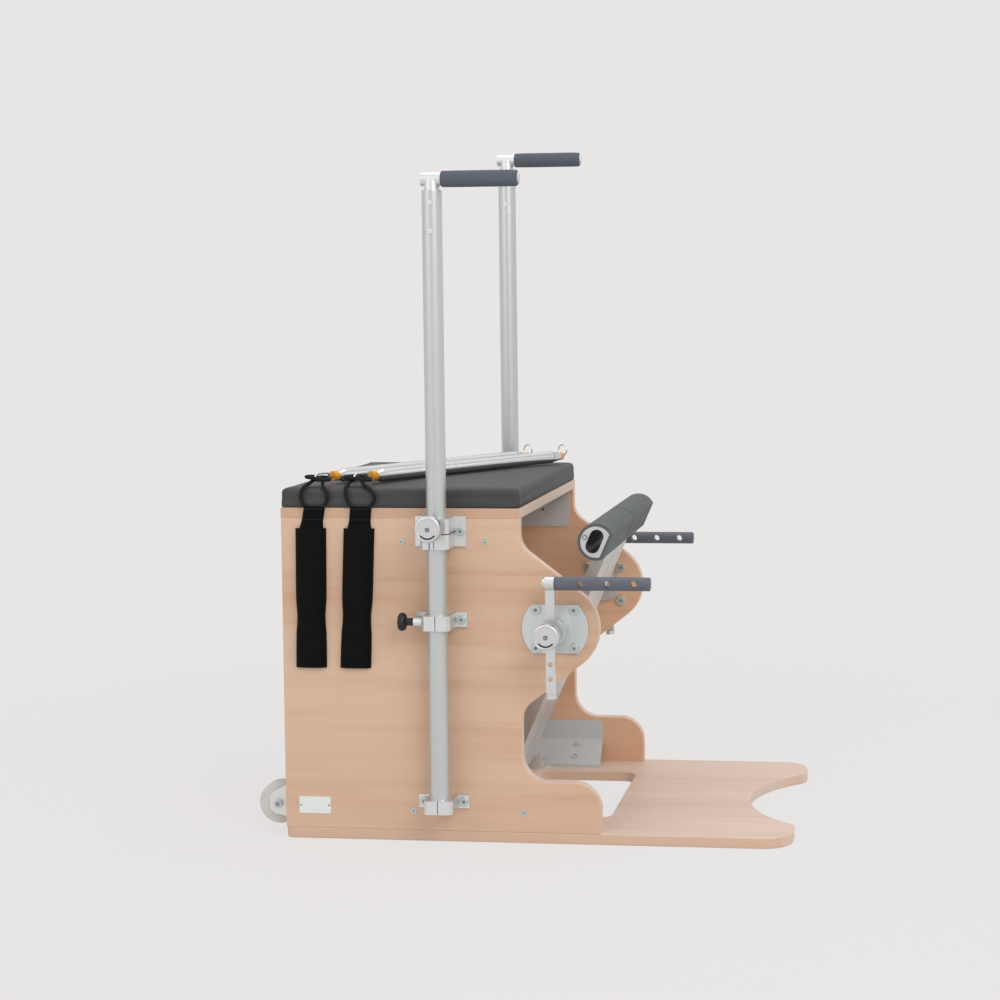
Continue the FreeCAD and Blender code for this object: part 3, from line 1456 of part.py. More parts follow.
def winding(radius, length, turns, wire_radius):
    """A coil about +Z from the origin, as a tube with straight ends, and its least gap."""
    steps = 4 * turns
    climb = length / turns / (2 * math.pi)
    places = []
    headings = []
    for step in range(steps + 1):
        turn = step * math.pi / 2
        across = radius * math.cos(turn)
        along = radius * math.sin(turn)
        places.append(FreeCAD.Vector(across, along, length * step / steps))
        headings.append(FreeCAD.Vector(-along, across, climb).normalize())
    edges = [Part.LineSegment(places[0] - headings[0] * (2 * wire_radius), places[0]).toShape()]
    for step in range(steps):
        first, last = places[step], places[step + 1]
        leave, arrive = headings[step], headings[step + 1]
        gap = last - first
        slope = gap.dot(leave + arrive)
        spread = 2 * (1 - leave.dot(arrive))
        handle = (math.sqrt(slope * slope + spread * gap.dot(gap)) - slope) / spread
        meeting = (first + leave * handle + last - arrive * handle) / 2
        arc, heading = arc_between(first, leave, meeting)
        edges.append(arc)
        edges.append(arc_between(meeting, heading, last)[0])
    edges.append(Part.LineSegment(places[-1], places[-1] + headings[-1] * (2 * wire_radius)).toShape())
    path = Part.Wire(edges)
    start = places[0] - headings[0] * (2 * wire_radius)
    section = Part.Wire(Part.makeCircle(wire_radius, start, headings[0]))
    tube = path.makePipeShell([section], True, False)
    samples = path.discretize(Number=24 * turns)
    least = min(
        samples[at].distanceToPoint(samples[other])
        for at in range(len(samples))
        for other in range(at + 12, min(at + 36, len(samples)))
    )
    print(
        "coil volume share of section times length",
        tube.Volume / (math.pi * wire_radius ** 2 * path.Length),
    )
    print("coil least gap", least - 2 * wire_radius)
    return tube


# Pedal springs, from the pin in each arm back to a knuckle on the upper rail
pin_place = arm_lean.multVec(FreeCAD.Vector(mm("-spring_pin_offset"), 0, mm("spring_pin_reach")))
anchor = FreeCAD.Vector(
    mm(f"{RAIL_FRONT} + anchor_reach"), 0, mm("upper_rail_bottom_height + upper_rail_height / 2")
)
spring_run = anchor - pin_place
spring_turn = FreeCAD.Rotation(AXES["z"], spring_run)
eye_radius = mm("spring_pin_radius + spring_rod_radius + clear_gap")
rod_length = mm("spring_rod_length")
cup_height = mm("spring_cup_height")
cup_end = rod_length + cup_height
free_length = spring_run.Length - 2 * cup_end
coil_radius = mm("spring_coil_radius")
coil_turns = round(mm("spring_turn_count"))
coil_wire = mm("spring_wire_radius")
coil_space = coil_room(coil_radius, free_length, coil_turns, coil_wire)
coil = winding(coil_radius, free_length - 2 * coil_space, coil_turns, coil_wire)
spring_anchors = []
for hand, side in SIDES.items():
    spring_y = side * mm(f"(pedal_gap / 2 + {ARM_OUTER}) / 2")
    at_pin = FreeCAD.Placement(pin_place + AXES["y"] * spring_y, spring_turn)
    eye = Part.makeTorus(eye_radius, mm("spring_rod_radius"), FreeCAD.Vector(), AXES["y"])
    link = Part.makeCylinder(
        mm("spring_rod_radius"), rod_length - eye_radius, FreeCAD.Vector(0, 0, eye_radius), AXES["z"]
    )
    cup = Part.makeCylinder(
        mm("spring_cup_radius"), cup_height, FreeCAD.Vector(0, 0, rod_length), AXES["z"]
    )
    spring_link = solid(f"{hand}SpringLink", eye.fuse([link, cup]))
    spring_link.Placement = at_pin
    node(f"{hand}_spring_link", spring_link)
    coil_item = solid(f"{hand}PedalSpring", coil)
    coil_lift = FreeCAD.Placement(AXES["z"] * (cup_end + coil_space), FreeCAD.Rotation())
    coil_item.Placement = at_pin.multiply(coil_lift)
    node(f"{hand}_pedal_spring", coil_item)
    knuckle_place = anchor + AXES["y"] * spring_y
    knuckle_half = AXES["y"] * mm("anchor_knuckle_length / 2")
    knuckle = bore(
        mm("anchor_knuckle_radius"), knuckle_place - knuckle_half, knuckle_place + knuckle_half
    )
    back_along = (pin_place - anchor).normalize()
    cup_place = knuckle_place + back_along * rod_length
    stay = bore(mm("spring_rod_radius"), knuckle_place, cup_place)
    far_cup = bore(mm("spring_cup_radius"), cup_place, cup_place + back_along * cup_height)
    rail_place = knuckle_place - AXES["x"] * mm("anchor_reach")
    shank = bore(mm("anchor_shank_radius"), rail_place, knuckle_place)
    flange = bore(
        mm("anchor_flange_radius"), rail_place, rail_place + AXES["x"] * mm("anchor_flange_height")
    )
    spring_anchors.append(solid(f"{hand}Anchor", knuckle.fuse([stay, far_cup, shank, flange])))
node("spring_anchors", group("SpringAnchors", spring_anchors))

# Bare plate on the right panel
badge_corners = [
    (f"{REAR} + badge_setback", "badge_bottom_height", "badge_corner_radius"),
    (f"{REAR} + badge_setback + badge_length", "badge_bottom_height", "badge_corner_radius"),
    (
        f"{REAR} + badge_setback + badge_length",
        "badge_bottom_height + badge_height",
        "badge_corner_radius",
    ),
    (f"{REAR} + badge_setback", "badge_bottom_height + badge_height", "badge_corner_radius"),
]
badge = plate("xz", badge_corners, f"-{OUTSIDE}", f"-{OUTSIDE} - badge_thickness")
for across in ("badge_rivet_inset", "badge_length - badge_rivet_inset"):
    face = FreeCAD.Vector(
        mm(f"{REAR} + badge_setback + {across}"),
        mm(f"-{OUTSIDE} - badge_thickness"),
        mm("badge_bottom_height + badge_height / 2"),
    )
    badge = badge.fuse(Part.makeSphere(mm("badge_rivet_radius"), face))
behind = Part.makeBox(
    mm("2 * badge_length"), mm("panel_thickness"), mm("2 * badge_height"),
    FreeCAD.Vector(
        mm(f"{REAR} + badge_setback - badge_length / 2"),
        mm(f"-{OUTSIDE}"),
        mm("badge_bottom_height - badge_height / 2"),
    ),
)
node("badge_plate", solid("Badge", badge.cut(behind)))

# Loose sets on the seat: a wound spring with fittings, a cord loop and a padded hand strap
STRAP_TOP = f"({PAD_BOTTOM} + strap_lift_height)"
arm_length = mm("arm_spring_length")
arm_coil_radius = mm("arm_spring_coil_radius")
arm_coil_turns = round(mm("arm_spring_turn_count"))
arm_coil_wire = mm("arm_spring_wire_radius")
arm_coil_room = coil_room(arm_coil_radius, arm_length, arm_coil_turns, arm_coil_wire)
arm_coil = winding(arm_coil_radius, arm_length - 2 * arm_coil_room, arm_coil_turns, arm_coil_wire)
spring_heading = FreeCAD.Vector(mm("cos(arm_spring_angle)"), mm("sin(arm_spring_angle)"), 0)
spring_lie = FreeCAD.Rotation(AXES["z"], FreeCAD.Vector(), spring_heading, "ZXY")
spring_axis_z = mm(f"{PAD_TOP} + arm_spring_coil_radius + arm_spring_wire_radius + clear_gap")
near_plug = mm("arm_near_plug_length")
near_sleeve = mm("arm_near_sleeve_length")
far_plug = mm("arm_far_plug_length")
far_sleeve = mm("arm_far_sleeve_length")
hook_wire = mm("arm_hook_wire_radius")
hook_bend = mm("arm_hook_bend_radius")

# Route of each cord, chosen by hand, from one corner of the strap's tab through the hook to the other.
# It is measured from the middle of the strap's top, on the panel's face.
cord_routes = {
    "front": [
        (-18, -4.5, 0), (-24, -3.5, 14.5), (-25.5, -1.8, 28.5), (-23.5, 7, 39.5),
        (-20.5, 19.5, 46), (-16.3, 35.8, 51.4), (0.7, 35.8, 51.4), (10.5, 19.5, 46),
        (19, 7, 39.5), (24.5, -1.8, 28.5), (24, -3.5, 14.5), (18, -4.5, 0),
    ],
    "rear": [
        (-18, -4.5, 0), (-24, -3.5, 14.5), (-25, -1.8, 28.5), (-20.5, 7, 39.5),
        (-12, 19.5, 46), (-3.3, 35.8, 51.4), (13.7, 35.8, 51.4), (19.5, 19.5, 46),
        (23.5, 7, 39.5), (25.5, -1.8, 28.5), (24, -3.5, 14.5), (18, -4.5, 0),
    ],
}
cord_trim_share = 0.45


def cord_tube(name, points, radius):
    """A tube along straight runs joined by tangent arcs, each as large as its runs allow."""
    edges = []
    radii = []
    last = points[0]
    for before, point, after in zip(points, points[1:], points[2:]):
        back = before - point
        onward = after - point
        trim = cord_trim_share * min(back.Length, onward.Length)
        half = back.getAngle(onward) / 2
        radii.append(trim * math.tan(half))
        back.normalize()
        onward.normalize()
        bisector = (back + onward).normalize()
        start = point + back * trim
        end = point + onward * trim
        middle = point + bisector * (radii[-1] / math.sin(half) - radii[-1])
        edges.append(Part.LineSegment(last, start).toShape())
        edges.append(Part.Arc(start, middle, end).toShape())
        last = end
    edges.append(Part.LineSegment(last, points[-1]).toShape())
    path = Part.Wire(edges)
    section = Part.Wire(Part.makeCircle(radius, points[0], points[1] - points[0]))
    tube = path.makePipeShell([section], True, False)
    print(name, "length", path.Length, "radii", [round(value, 1) for value in radii])
    print(
        name,
        "volume share of section times length",
        tube.Volume / (math.pi * radius ** 2 * path.Length),
    )
    return tube


strap_level_shares = (0, 0.05, 0.4, 0.58, 0.72, 0.9, 1)
strap_width_shares = (1, 1, 0.96, 0.89, 0.89, 0.97, 1)
strap_depth_shares = (0.7, 1, 1, 0.9, 0.9, 1, 0.6)


def strap_ring(middle_x, width, depth, height):
    """The strap's outline at a height, flat against the panel's face."""
    back = mm(f"-{OUTSIDE} - clear_gap")
    corners = [
        FreeCAD.Vector(middle_x + turn * width / 2, back - out * depth, height)
        for turn, out in ((-1, 0), (1, 0), (1, 1), (-1, 1))
    ]
    return outline(corners, [mm("strap_corner_radius")] * len(corners))


for place_name, route in cord_routes.items():
    near_end = FreeCAD.Vector(
        mm(f"{REAR} + {place_name}_spring_setback"), mm(f"arm_spring_inset - {OUTSIDE}"), spring_axis_z
    )
    lie = FreeCAD.Placement(near_end, spring_lie)
    coil_item = solid(f"{place_name}ArmCoil", arm_coil)
    coil_item.Placement = lie.multiply(
        FreeCAD.Placement(FreeCAD.Vector(0, 0, arm_coil_room), FreeCAD.Rotation())
    )
    node(f"{place_name}_arm_spring", coil_item)

    down = AXES["z"] * -1
    plug = Part.makeCone(
        mm("arm_plug_radius"), mm("arm_plug_tip_radius"), near_plug, FreeCAD.Vector(), down
    )
    sleeve_end = near_plug + near_sleeve
    shank_end = sleeve_end + mm("arm_hook_shank_length")
    hook = Part.makeCylinder(
        mm("arm_hook_shank_radius"),
        mm("arm_hook_shank_length") + hook_wire,
        FreeCAD.Vector(0, 0, -sleeve_end),
        down,
    )
    first_bend = FreeCAD.Vector(0, 0, -shank_end - hook_wire - hook_bend)
    last_bend = first_bend + down * mm("arm_hook_length")
    sideways = AXES["x"] * hook_bend
    link_top = first_bend + AXES["z"] * hook_bend
    link_path = Part.Wire([
        Part.Arc(first_bend - sideways, link_top, first_bend + sideways).toShape(),
        Part.LineSegment(first_bend + sideways, last_bend + sideways).toShape(),
        Part.Arc(last_bend + sideways, last_bend + down * hook_bend, last_bend - sideways).toShape(),
        Part.LineSegment(last_bend - sideways, first_bend - sideways).toShape(),
    ])
    link_section = Part.Wire(Part.makeCircle(hook_wire, first_bend - sideways, AXES["z"]))
    hook = hook.fuse(link_path.makePipeShell([link_section], True, False))
    tail = Part.makeCone(
        mm("arm_plug_radius"),
        mm("arm_plug_tip_radius"),
        far_plug,
        FreeCAD.Vector(0, 0, arm_length),
        AXES["z"],
    )
    eye_start = arm_length + far_plug + far_sleeve
    eye_middle = FreeCAD.Vector(0, 0, eye_start + mm("arm_eye_radius"))
    eye = Part.makeTorus(mm("arm_eye_radius"), mm("arm_eye_wire_radius"), eye_middle, AXES["y"])
    beyond = Part.makeCylinder(
        mm("2 * arm_eye_radius"), mm("2 * arm_eye_wire_radius"), FreeCAD.Vector(0, 0, eye_start), down
    )
    eye = eye.cut(beyond)
    ring_rise = mm(
        "arm_eye_radius - arm_eye_wire_radius - arm_ring_wire_radius - clear_gap + arm_ring_radius"
    )
    ring = Part.makeTorus(
        mm("arm_ring_radius"), mm("arm_ring_wire_radius"), eye_middle + AXES["x"] * ring_rise, AXES["z"]
    )
    fittings = []
    for fitting in (plug, hook, tail, eye, ring):
        item = solid(f"{place_name}Fitting{len(fittings)}", fitting)
        item.Placement = lie
        fittings.append(item)
    node(f"{place_name}_spring_fittings", group(f"{place_name}Fittings", fittings))
    sleeves = []
    for radius, start, length in (
        ("arm_sleeve_radius", -sleeve_end, near_sleeve),
        ("arm_plug_tip_radius", arm_length + far_plug, far_sleeve),
    ):
        item = solid(
            f"{place_name}Sleeve{len(sleeves)}",
            Part.makeCylinder(mm(radius), length, FreeCAD.Vector(0, 0, start), AXES["z"]),
        )
        item.Placement = lie
        sleeves.append(item)
    node(f"{place_name}_spring_sleeves", group(f"{place_name}Sleeves", sleeves))

    strap_x = mm(f"{REAR} + {place_name}_strap_setback")
    strap_place = FreeCAD.Vector(strap_x, mm(f"-{OUTSIDE}"), mm(STRAP_TOP))
    cord_points = [strap_place + FreeCAD.Vector(*point) for point in route]
    tube = cord_tube(f"{place_name} cord", cord_points, mm("cord_radius"))
    node(f"{place_name}_cord", solid(f"{place_name}Cord", tube))

    drift = mm(f"{place_name}_strap_drift_width")
    tab_width = mm("strap_tab_width")
    tab_depth = mm("strap_tab_thickness")
    tab_bottom = mm(f"{STRAP_TOP} - strap_tab_height")
    strap_rings = [
        strap_ring(strap_x, tab_width, tab_depth, mm(STRAP_TOP)),
        strap_ring(strap_x, tab_width, tab_depth, tab_bottom),
    ]
    pad_top = tab_bottom - mm("strap_neck_height")
    for level, wide, deep in zip(strap_level_shares, strap_width_shares, strap_depth_shares):
        strap_rings.append(
            strap_ring(
                strap_x - level * drift,
                wide * mm("strap_width"),
                deep * mm("strap_thickness"),
                pad_top - level * mm("strap_length"),
            )
        )
    node(f"{place_name}_strap", solid(f"{place_name}Strap", Part.makeLoft(strap_rings, True, True)))

# Every piece must have come out whole before anything is written
doc.recompute()
for item in doc.Objects:
    if "Invalid" in item.State or "Error" in item.State:
        raise RuntimeError(f"{item.Label} failed: {item.State}")
os.makedirs("parts", exist_ok=True)
for item in nodes:
    if item.Shape.isNull() or not item.Shape.isValid():
        raise RuntimeError(f"{item.Label} has no sound shape")
for item in nodes:
    item.Shape.exportStep(f"parts/{item.Label}.step")
print(len(nodes), "pieces written")
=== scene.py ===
import math

import bmesh
import bpy
from mathutils import Matrix, Vector


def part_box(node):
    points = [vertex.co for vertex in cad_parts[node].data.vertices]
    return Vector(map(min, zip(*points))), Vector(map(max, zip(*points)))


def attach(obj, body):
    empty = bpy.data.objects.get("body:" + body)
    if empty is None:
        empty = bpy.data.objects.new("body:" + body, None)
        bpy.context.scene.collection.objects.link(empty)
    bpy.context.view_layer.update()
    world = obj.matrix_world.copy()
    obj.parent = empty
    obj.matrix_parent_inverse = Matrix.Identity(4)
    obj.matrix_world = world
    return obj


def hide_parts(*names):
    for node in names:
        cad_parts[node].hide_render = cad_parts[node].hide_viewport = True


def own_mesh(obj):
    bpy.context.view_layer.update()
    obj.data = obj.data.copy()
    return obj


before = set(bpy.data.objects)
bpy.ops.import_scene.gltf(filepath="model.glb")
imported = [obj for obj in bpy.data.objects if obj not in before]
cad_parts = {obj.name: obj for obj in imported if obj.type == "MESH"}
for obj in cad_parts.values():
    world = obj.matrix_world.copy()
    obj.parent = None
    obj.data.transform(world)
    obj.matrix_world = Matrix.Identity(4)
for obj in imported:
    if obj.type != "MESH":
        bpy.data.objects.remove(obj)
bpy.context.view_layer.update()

# Base board: one sheet of beech ply on the floor, with a bay cut in its front edge and a window under
# the pedal arms. It is lacquered, with its edges rounded over and left a little paler than the faces.


class Socket:
    """One output in a material's nodes. Sums with it add Math nodes to the same material."""

    def __init__(self, tree, output=None):
        self.tree = tree
        self.output = output

    def node(self, kind, settings=None, inputs=None, output=0):
        """Adds a node, makes its settings first, and then sets or links its inputs."""
        made = self.tree.nodes.new(kind)
        for name, value in (settings or {}).items():
            setattr(made, name, value)
        for name, value in (inputs or {}).items():
            if isinstance(value, Socket):
                self.tree.links.new(value.output, made.inputs[name])
            else:
                made.inputs[name].default_value = value
        return Socket(self.tree, made.outputs[output])

    def maths(self, operation, first, second):
        return self.node("ShaderNodeMath", {"operation": operation}, {0: first, 1: second})

    def __add__(self, other):
        return self.maths("ADD", self, other)

    def __radd__(self, other):
        return self.maths("ADD", other, self)

    def __sub__(self, other):
        return self.maths("SUBTRACT", self, other)

    def __rsub__(self, other):
        return self.maths("SUBTRACT", other, self)

    def __mul__(self, other):
        return self.maths("MULTIPLY", self, other)

    def __rmul__(self, other):
        return self.maths("MULTIPLY", other, self)

    def __pow__(self, other):
        return self.maths("POWER", self, other)


def finish(name, constants):
    """A new material with its constant values set, and the place that its patterns start from."""
    material = bpy.data.materials.new(name)
    material.use_nodes = True
    shader = material.node_tree.nodes["Principled BSDF"]
    for socket, value in constants.items():
        shader.inputs[socket].default_value = value
    return material, Socket(material.node_tree).node("ShaderNodeTexCoord", output="Object")


def feed(material, links):
    """Links what varies over the surface into the material's shader."""
    shader = material.node_tree.nodes["Principled BSDF"]
    for socket, source in links.items():
        material.node_tree.links.new(source.output, shader.inputs[socket])
    return material


def noise(place, stretch, detail=2.0, roughness=0.5):
    """Cloudy noise with so many clouds to a metre along each axis."""
    mapped = place.node("ShaderNodeMapping", {}, {"Vector": place, "Scale": stretch})
    settings = {"Vector": mapped, "Scale": 1.0, "Detail": detail, "Roughness": roughness}
    return mapped.node("ShaderNodeTexNoise", {}, settings)


def ease(value, low, high):
    """0 below low, 1 above high, and smooth between them."""
    limits = {"Value": value, "From Min": low, "From Max": high}
    return value.node("ShaderNodeMapRange", {"interpolation_type": "SMOOTHSTEP"}, limits)


def tint(mask, first, second):
    """The first colour where the mask is 0, the second where it is 1."""
    return mask.node("ShaderNodeMix", {"data_type": "RGBA"}, {0: mask, 6: first, 7: second}, output=2)


def bump(height, strength, distance):
    """A normal that follows the height, which is up to so many metres deep."""
    inputs = {"Height": height, "Strength": strength, "Distance": distance}
    return height.node("ShaderNodeBump", {}, inputs)


def rgb(red, green, blue):
    """A linear colour from the 0 to 255 numbers of a screen colour."""
    parts = [value / 255 for value in (red, green, blue)]
    return [part / 12.92 if part < 0.04045 else ((part + 0.055) / 1.055) ** 2.4 for part in parts] + [1]


def beech(name, across, face, vein, edge, side):
    """Lacquered beech ply with its grain along X. Across is the axis through the sheet, edge the colour
    of its front and rear edges, and side that of its other edges. Where edge is paler than side, the
    edges facing along X are painted lighter than the others: painted light from the front."""
    layer_pair = 0.0042
    material, place = finish(name, {"Coat Weight": 0.12, "Coat Roughness": 0.3})
    cloud = noise(place, (1.3, 9.0, 9.0), 3.0)
    streak = noise(place, (1.8, 36.0, 36.0), 4.0, 0.6)
    line = noise(place, (9.0, 420.0, 420.0), 2.0)
    fleck = noise(place, (150.0, 1100.0, 1100.0), 1.0)
    figure = 0.45 * ease(cloud, 0.4, 0.7) + 0.5 * ease(streak, 0.45, 0.72) + 0.2 * line - 0.08
    wood = tint(figure, face, vein)
    wood = tint(0.5 * ease(fleck, 0.6, 0.72), wood, vein)
    normal = place.node("ShaderNodeTexCoord", {}, {}, "Normal")
    facing = normal.node("ShaderNodeSeparateXYZ", {}, {"Vector": normal}, across)
    ahead = normal.node("ShaderNodeSeparateXYZ", {}, {"Vector": normal}, 0)
    flat = ease(facing * facing, 0.2, 0.5)
    depth = place.node("ShaderNodeSeparateXYZ", {}, {"Vector": place}, across)
    ply = depth.node("ShaderNodeMath", {"operation": "SINE"}, {0: depth * (2 * math.pi / layer_pair)})
    # Edges facing along X take edge and the rest take side; a paler edge than side is painted light from the
    # front.
    rim = tint(ease(ahead * ahead, 0.3, 0.7), side, edge)
    rim = tint(ease(ply, 0.2, 0.9) * 0.3 + line * 0.25, rim, vein)
    colour = tint(flat, rim, wood)
    rough = 0.36 + 0.16 * line + 0.06 * streak
    relief = bump(line * 0.6 + fleck * 0.4, 0.12, 0.0004)
    return feed(material, {"Base Color": colour, "Roughness": rough, "Normal": relief})


def dress(material, *names):
    """Gives CAD nodes a material."""
    for name in names:
        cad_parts[name].data.materials.clear()
        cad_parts[name].data.materials.append(material)


beech_face = rgb(219, 185, 158)
beech_vein = rgb(202, 161, 131)
beech_edge = rgb(228, 206, 190)
beech_pale = rgb(220, 198, 178)
# The base's front and rear edges are paler than its long side edges: painted light from the front.
beech_flat = beech("beech_flat", 2, rgb(226, 199, 182), rgb(214, 184, 164), beech_pale, rgb(214, 180, 154))
dress(beech_flat, "base_board")

# Side panels: two sheets of the same ply, screwed to the base and seat through folded brackets.
# Each has a round nose that carries the arm lever's hub. The left sheet is painted a little redder than the
# right:
# painted shade for the shaded inside of the box.
beech_right = beech("beech_right", 1, beech_face, beech_vein, beech_edge, beech_edge)
beech_left_painted_shade = beech("beech_left_painted_shade", 1, rgb(222, 179, 146), rgb(204, 155, 118), beech_edge, beech_edge)
dress(beech_right, "right_side_panel")
dress(beech_left_painted_shade, "left_side_panel")

# Rear rails: two boards of the same ply, set on edge between the panels to stiffen the box.
# The upper one carries the pedal springs.
beech_rail = beech("beech_rail", 0, beech_face, beech_vein, beech_edge, beech_edge)
dress(beech_rail, "lower_rear_rail", "upper_rear_rail")

# Seat board: thin ply that lies on the panels' top edges and carries the pad.
# Folded brackets hold it down, and its lacquered edge shows as a band under the pad.
# Its long side edges are painted browner than its front and rear edges: painted light and shade by direction.
beech_seat = beech("beech_seat", 2, beech_face, beech_vein, beech_edge, rgb(205, 168, 140))
dress(beech_seat, "seat_board")

# Seat pad: firm foam under dark grey vinyl, pulled down over the seat board's edge and stapled below.
# The cover is tight, with upright sides and a soft roll along the top edge.
vinyl, place = finish("dark_vinyl", {"Specular IOR Level": 0.4})
mapped = place.node("ShaderNodeMapping", {}, {"Vector": place, "Scale": (1400, 1400, 1400)})
grain = mapped.node("ShaderNodeTexVoronoi", {"feature": "DISTANCE_TO_EDGE"}, {"Vector": mapped, "Scale": 1.0})
wrinkle = noise(place, (14, 14, 14), 3.0)
pores = ease(grain, 0.02, 0.25)
pad_colour = tint(0.35 * pores + 0.5 * wrinkle, rgb(57, 57, 59), rgb(69, 69, 71))
pad_rough = 0.5 + 0.12 * wrinkle - 0.08 * pores
feed(vinyl, {"Base Color": pad_colour, "Roughness": pad_rough, "Normal": bump(pores, 0.25, 0.0003)})

pad_low, pad_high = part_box("seat_pad")
pad_growth = 0.001
pad_crown = 0.004
pad_crown_share = 0.7
pad_top_depth = 0.002
pad_hem = 0.004
pad_move_cap = 0.0012
pad_voxel = 0.0036
pad_swell_steps = 20
pad_rounds = {"upright": (0.007, 4), "top": (0.008, 5), "foot": (0.003, 2)}
snap = 1e-5


def piece(name, mesh, material, body, sharp_angle=35, inner=None):
    """Makes an object of a finished bmesh, smooth but for its sharp edges, that rides on a body. Inner
    is the material of its recesses."""
    bmesh.ops.remove_doubles(mesh, verts=mesh.verts, dist=1e-6)
    bmesh.ops.recalc_face_normals(mesh, faces=mesh.faces)
    for face in mesh.faces:
        face.smooth = True
    for edge in mesh.edges:
        edge.smooth = not edge.is_manifold or edge.calc_face_angle() < math.radians(sharp_angle)
    data = bpy.data.meshes.new(name)
    mesh.to_mesh(data)
    mesh.free()
    made = bpy.data.objects.new(name, data)
    bpy.context.scene.collection.objects.link(made)
    data.materials.append(material)
    if inner:
        data.materials.append(inner)
    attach(made, body)
    return made


pad_block = Vector((pad_high.x - pad_low.x, pad_high.y - pad_low.y, pad_high.z - pad_low.z - pad_crown))
pad_block += Vector((2 * pad_growth, 2 * pad_growth, 0))
pad_middle = (pad_low + pad_high) / 2 - Vector((0, 0, pad_crown / 2))
pad_top = pad_high.z - pad_crown
mesh = bmesh.new()
bmesh.ops.create_cube(mesh, size=1, matrix=Matrix.LocRotScale(pad_middle, None, pad_block))
for chosen, (radius, rounds) in pad_rounds.items():
    edges = []
    for edge in mesh.edges:
        heights = [vert.co.z for vert in edge.verts]
        if chosen == "upright" and max(heights) - min(heights) > pad_block.z / 2:
            edges.append(edge)
        if chosen == "top" and min(heights) > pad_top - snap:
            edges.append(edge)
        if chosen == "foot" and max(heights) < pad_low.z + snap:
            edges.append(edge)
    bmesh.ops.bevel(
        mesh, geom=edges, offset=radius, segments=rounds, profile=0.5, affect="EDGES", material=-1
    )
seat_pad = piece("seat_pad_cover", mesh, vinyl, "frame")
remesh = seat_pad.modifiers.new("remesh", "REMESH")
remesh.mode = "VOXEL"
remesh.voxel_size = pad_voxel
bpy.context.view_layer.objects.active = seat_pad
bpy.ops.object.modifier_apply(modifier="remesh")
for vert in seat_pad.data.vertices:
    if vert.co.z > pad_top - pad_top_depth:
        along = 2 * (vert.co.x - pad_middle.x) / pad_block.x
        across = 2 * (vert.co.y - pad_middle.y) / pad_block.y
        vert.co.z += pad_crown_share * pad_crown * (1 - along ** 4) * (1 - across ** 4)
rest = [vert.co.copy() for vert in seat_pad.data.vertices]
held = seat_pad.vertex_groups.new(name="held")
hem = [vert.index for vert in seat_pad.data.vertices if vert.co.z < pad_low.z + pad_hem]
held.add(hem, 1.0, "REPLACE")
cloth = seat_pad.modifiers.new("swell", "CLOTH")
cloth.settings.vertex_group_mass = "held"
cloth.settings.use_pressure = True
cloth.settings.uniform_pressure_force = 4.0
cloth.settings.tension_stiffness = 40
cloth.settings.effector_weights.gravity = 0
cloth.point_cache.frame_end = pad_swell_steps
for step in range(1, pad_swell_steps + 1):
    bpy.context.scene.frame_set(step)
bpy.ops.object.modifier_apply(modifier="swell")
bpy.context.scene.frame_set(1)
for vert, start in zip(seat_pad.data.vertices, rest):
    moved = vert.co - start
    if moved.length > pad_move_cap:
        vert.co = start + moved * (pad_move_cap / moved.length)
for vert in seat_pad.data.vertices:
    vert.co.z = max(vert.co.z, pad_low.z)
for face in seat_pad.data.polygons:
    face.use_smooth = True
smooth = seat_pad.modifiers.new("smooth", "SMOOTH")
smooth.iterations = 1
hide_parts("seat_pad")

# Folded brackets: steel sheet with a grey powder coat, bent to join the panels to the base and seat.
# Screws through the panels hold their flanges.
powder, place = finish("grey_powder", {"Metallic": 0.15})
speck = noise(place, (900, 900, 900), 2.0)
cast = noise(place, (12, 12, 12), 2.0)
powder_colour = tint(0.4 * speck + 0.4 * cast, rgb(190, 191, 191), rgb(206, 207, 207))
powder_relief = bump(speck, 0.12, 0.0003)
feed(powder, {"Base Color": powder_colour, "Roughness": 0.42 + 0.16 * speck, "Normal": powder_relief})
dress(powder, "base_brackets", "seat_brackets")

# Screws through the panels: zinc-plated steel with a low head and a square recess. Bolts with hex sockets
# hold the base brackets' sloping folds.


def metal(name, colour, roughness, brushing, depth=0.1, metallic=1.0):
    """Metal with fine lines, which are close together along the axes that brushing makes large."""
    material, place = finish(name, {"Metallic": metallic})
    lines = noise(place, brushing, 2.0)
    patina = noise(place, (18, 18, 18), 3.0)
    dull = [part * 0.92 for part in colour[:3]] + [1]
    shade = tint(0.45 * lines + 0.5 * patina, dull, colour)
    rough = roughness - 0.06 + 0.1 * lines + 0.06 * patina
    return feed(material, {"Base Color": shade, "Roughness": rough, "Normal": bump(lines, depth, 0.0002)})


def turned(mesh, profile, steps=40):
    """Adds a shape spun about Z from points of radius and height, and gives its vertices."""
    points = [mesh.verts.new((radius, 0, height)) for radius, height in profile]
    edges = [mesh.edges.new(pair) for pair in zip(points, points[1:])]
    before = set(mesh.verts) - set(points)
    bmesh.ops.spin(
        mesh,
        geom=points + edges,
        cent=(0, 0, 0),
        axis=(0, 0, 1),
        angle=2 * math.pi,
        steps=steps,
        use_merge=True,
    )
    return [vert for vert in mesh.verts if vert not in before]


def aimed(spot, outward):
    """The matrix that puts a shape made about Z at a spot, with its Z along outward."""
    return Matrix.Translation(Vector(spot)) @ Vector(outward).to_track_quat("Z", "Y").to_matrix().to_4x4()


def only(kind, parts):
    """The vertices, edges or faces among what an operator gives back."""
    return [part for part in parts if isinstance(part, kind)]


def ring_edges(ring):
    """The edges of a ring of vertices, in order."""
    return list(dict.fromkeys(edge for vert in ring for edge in vert.link_edges))


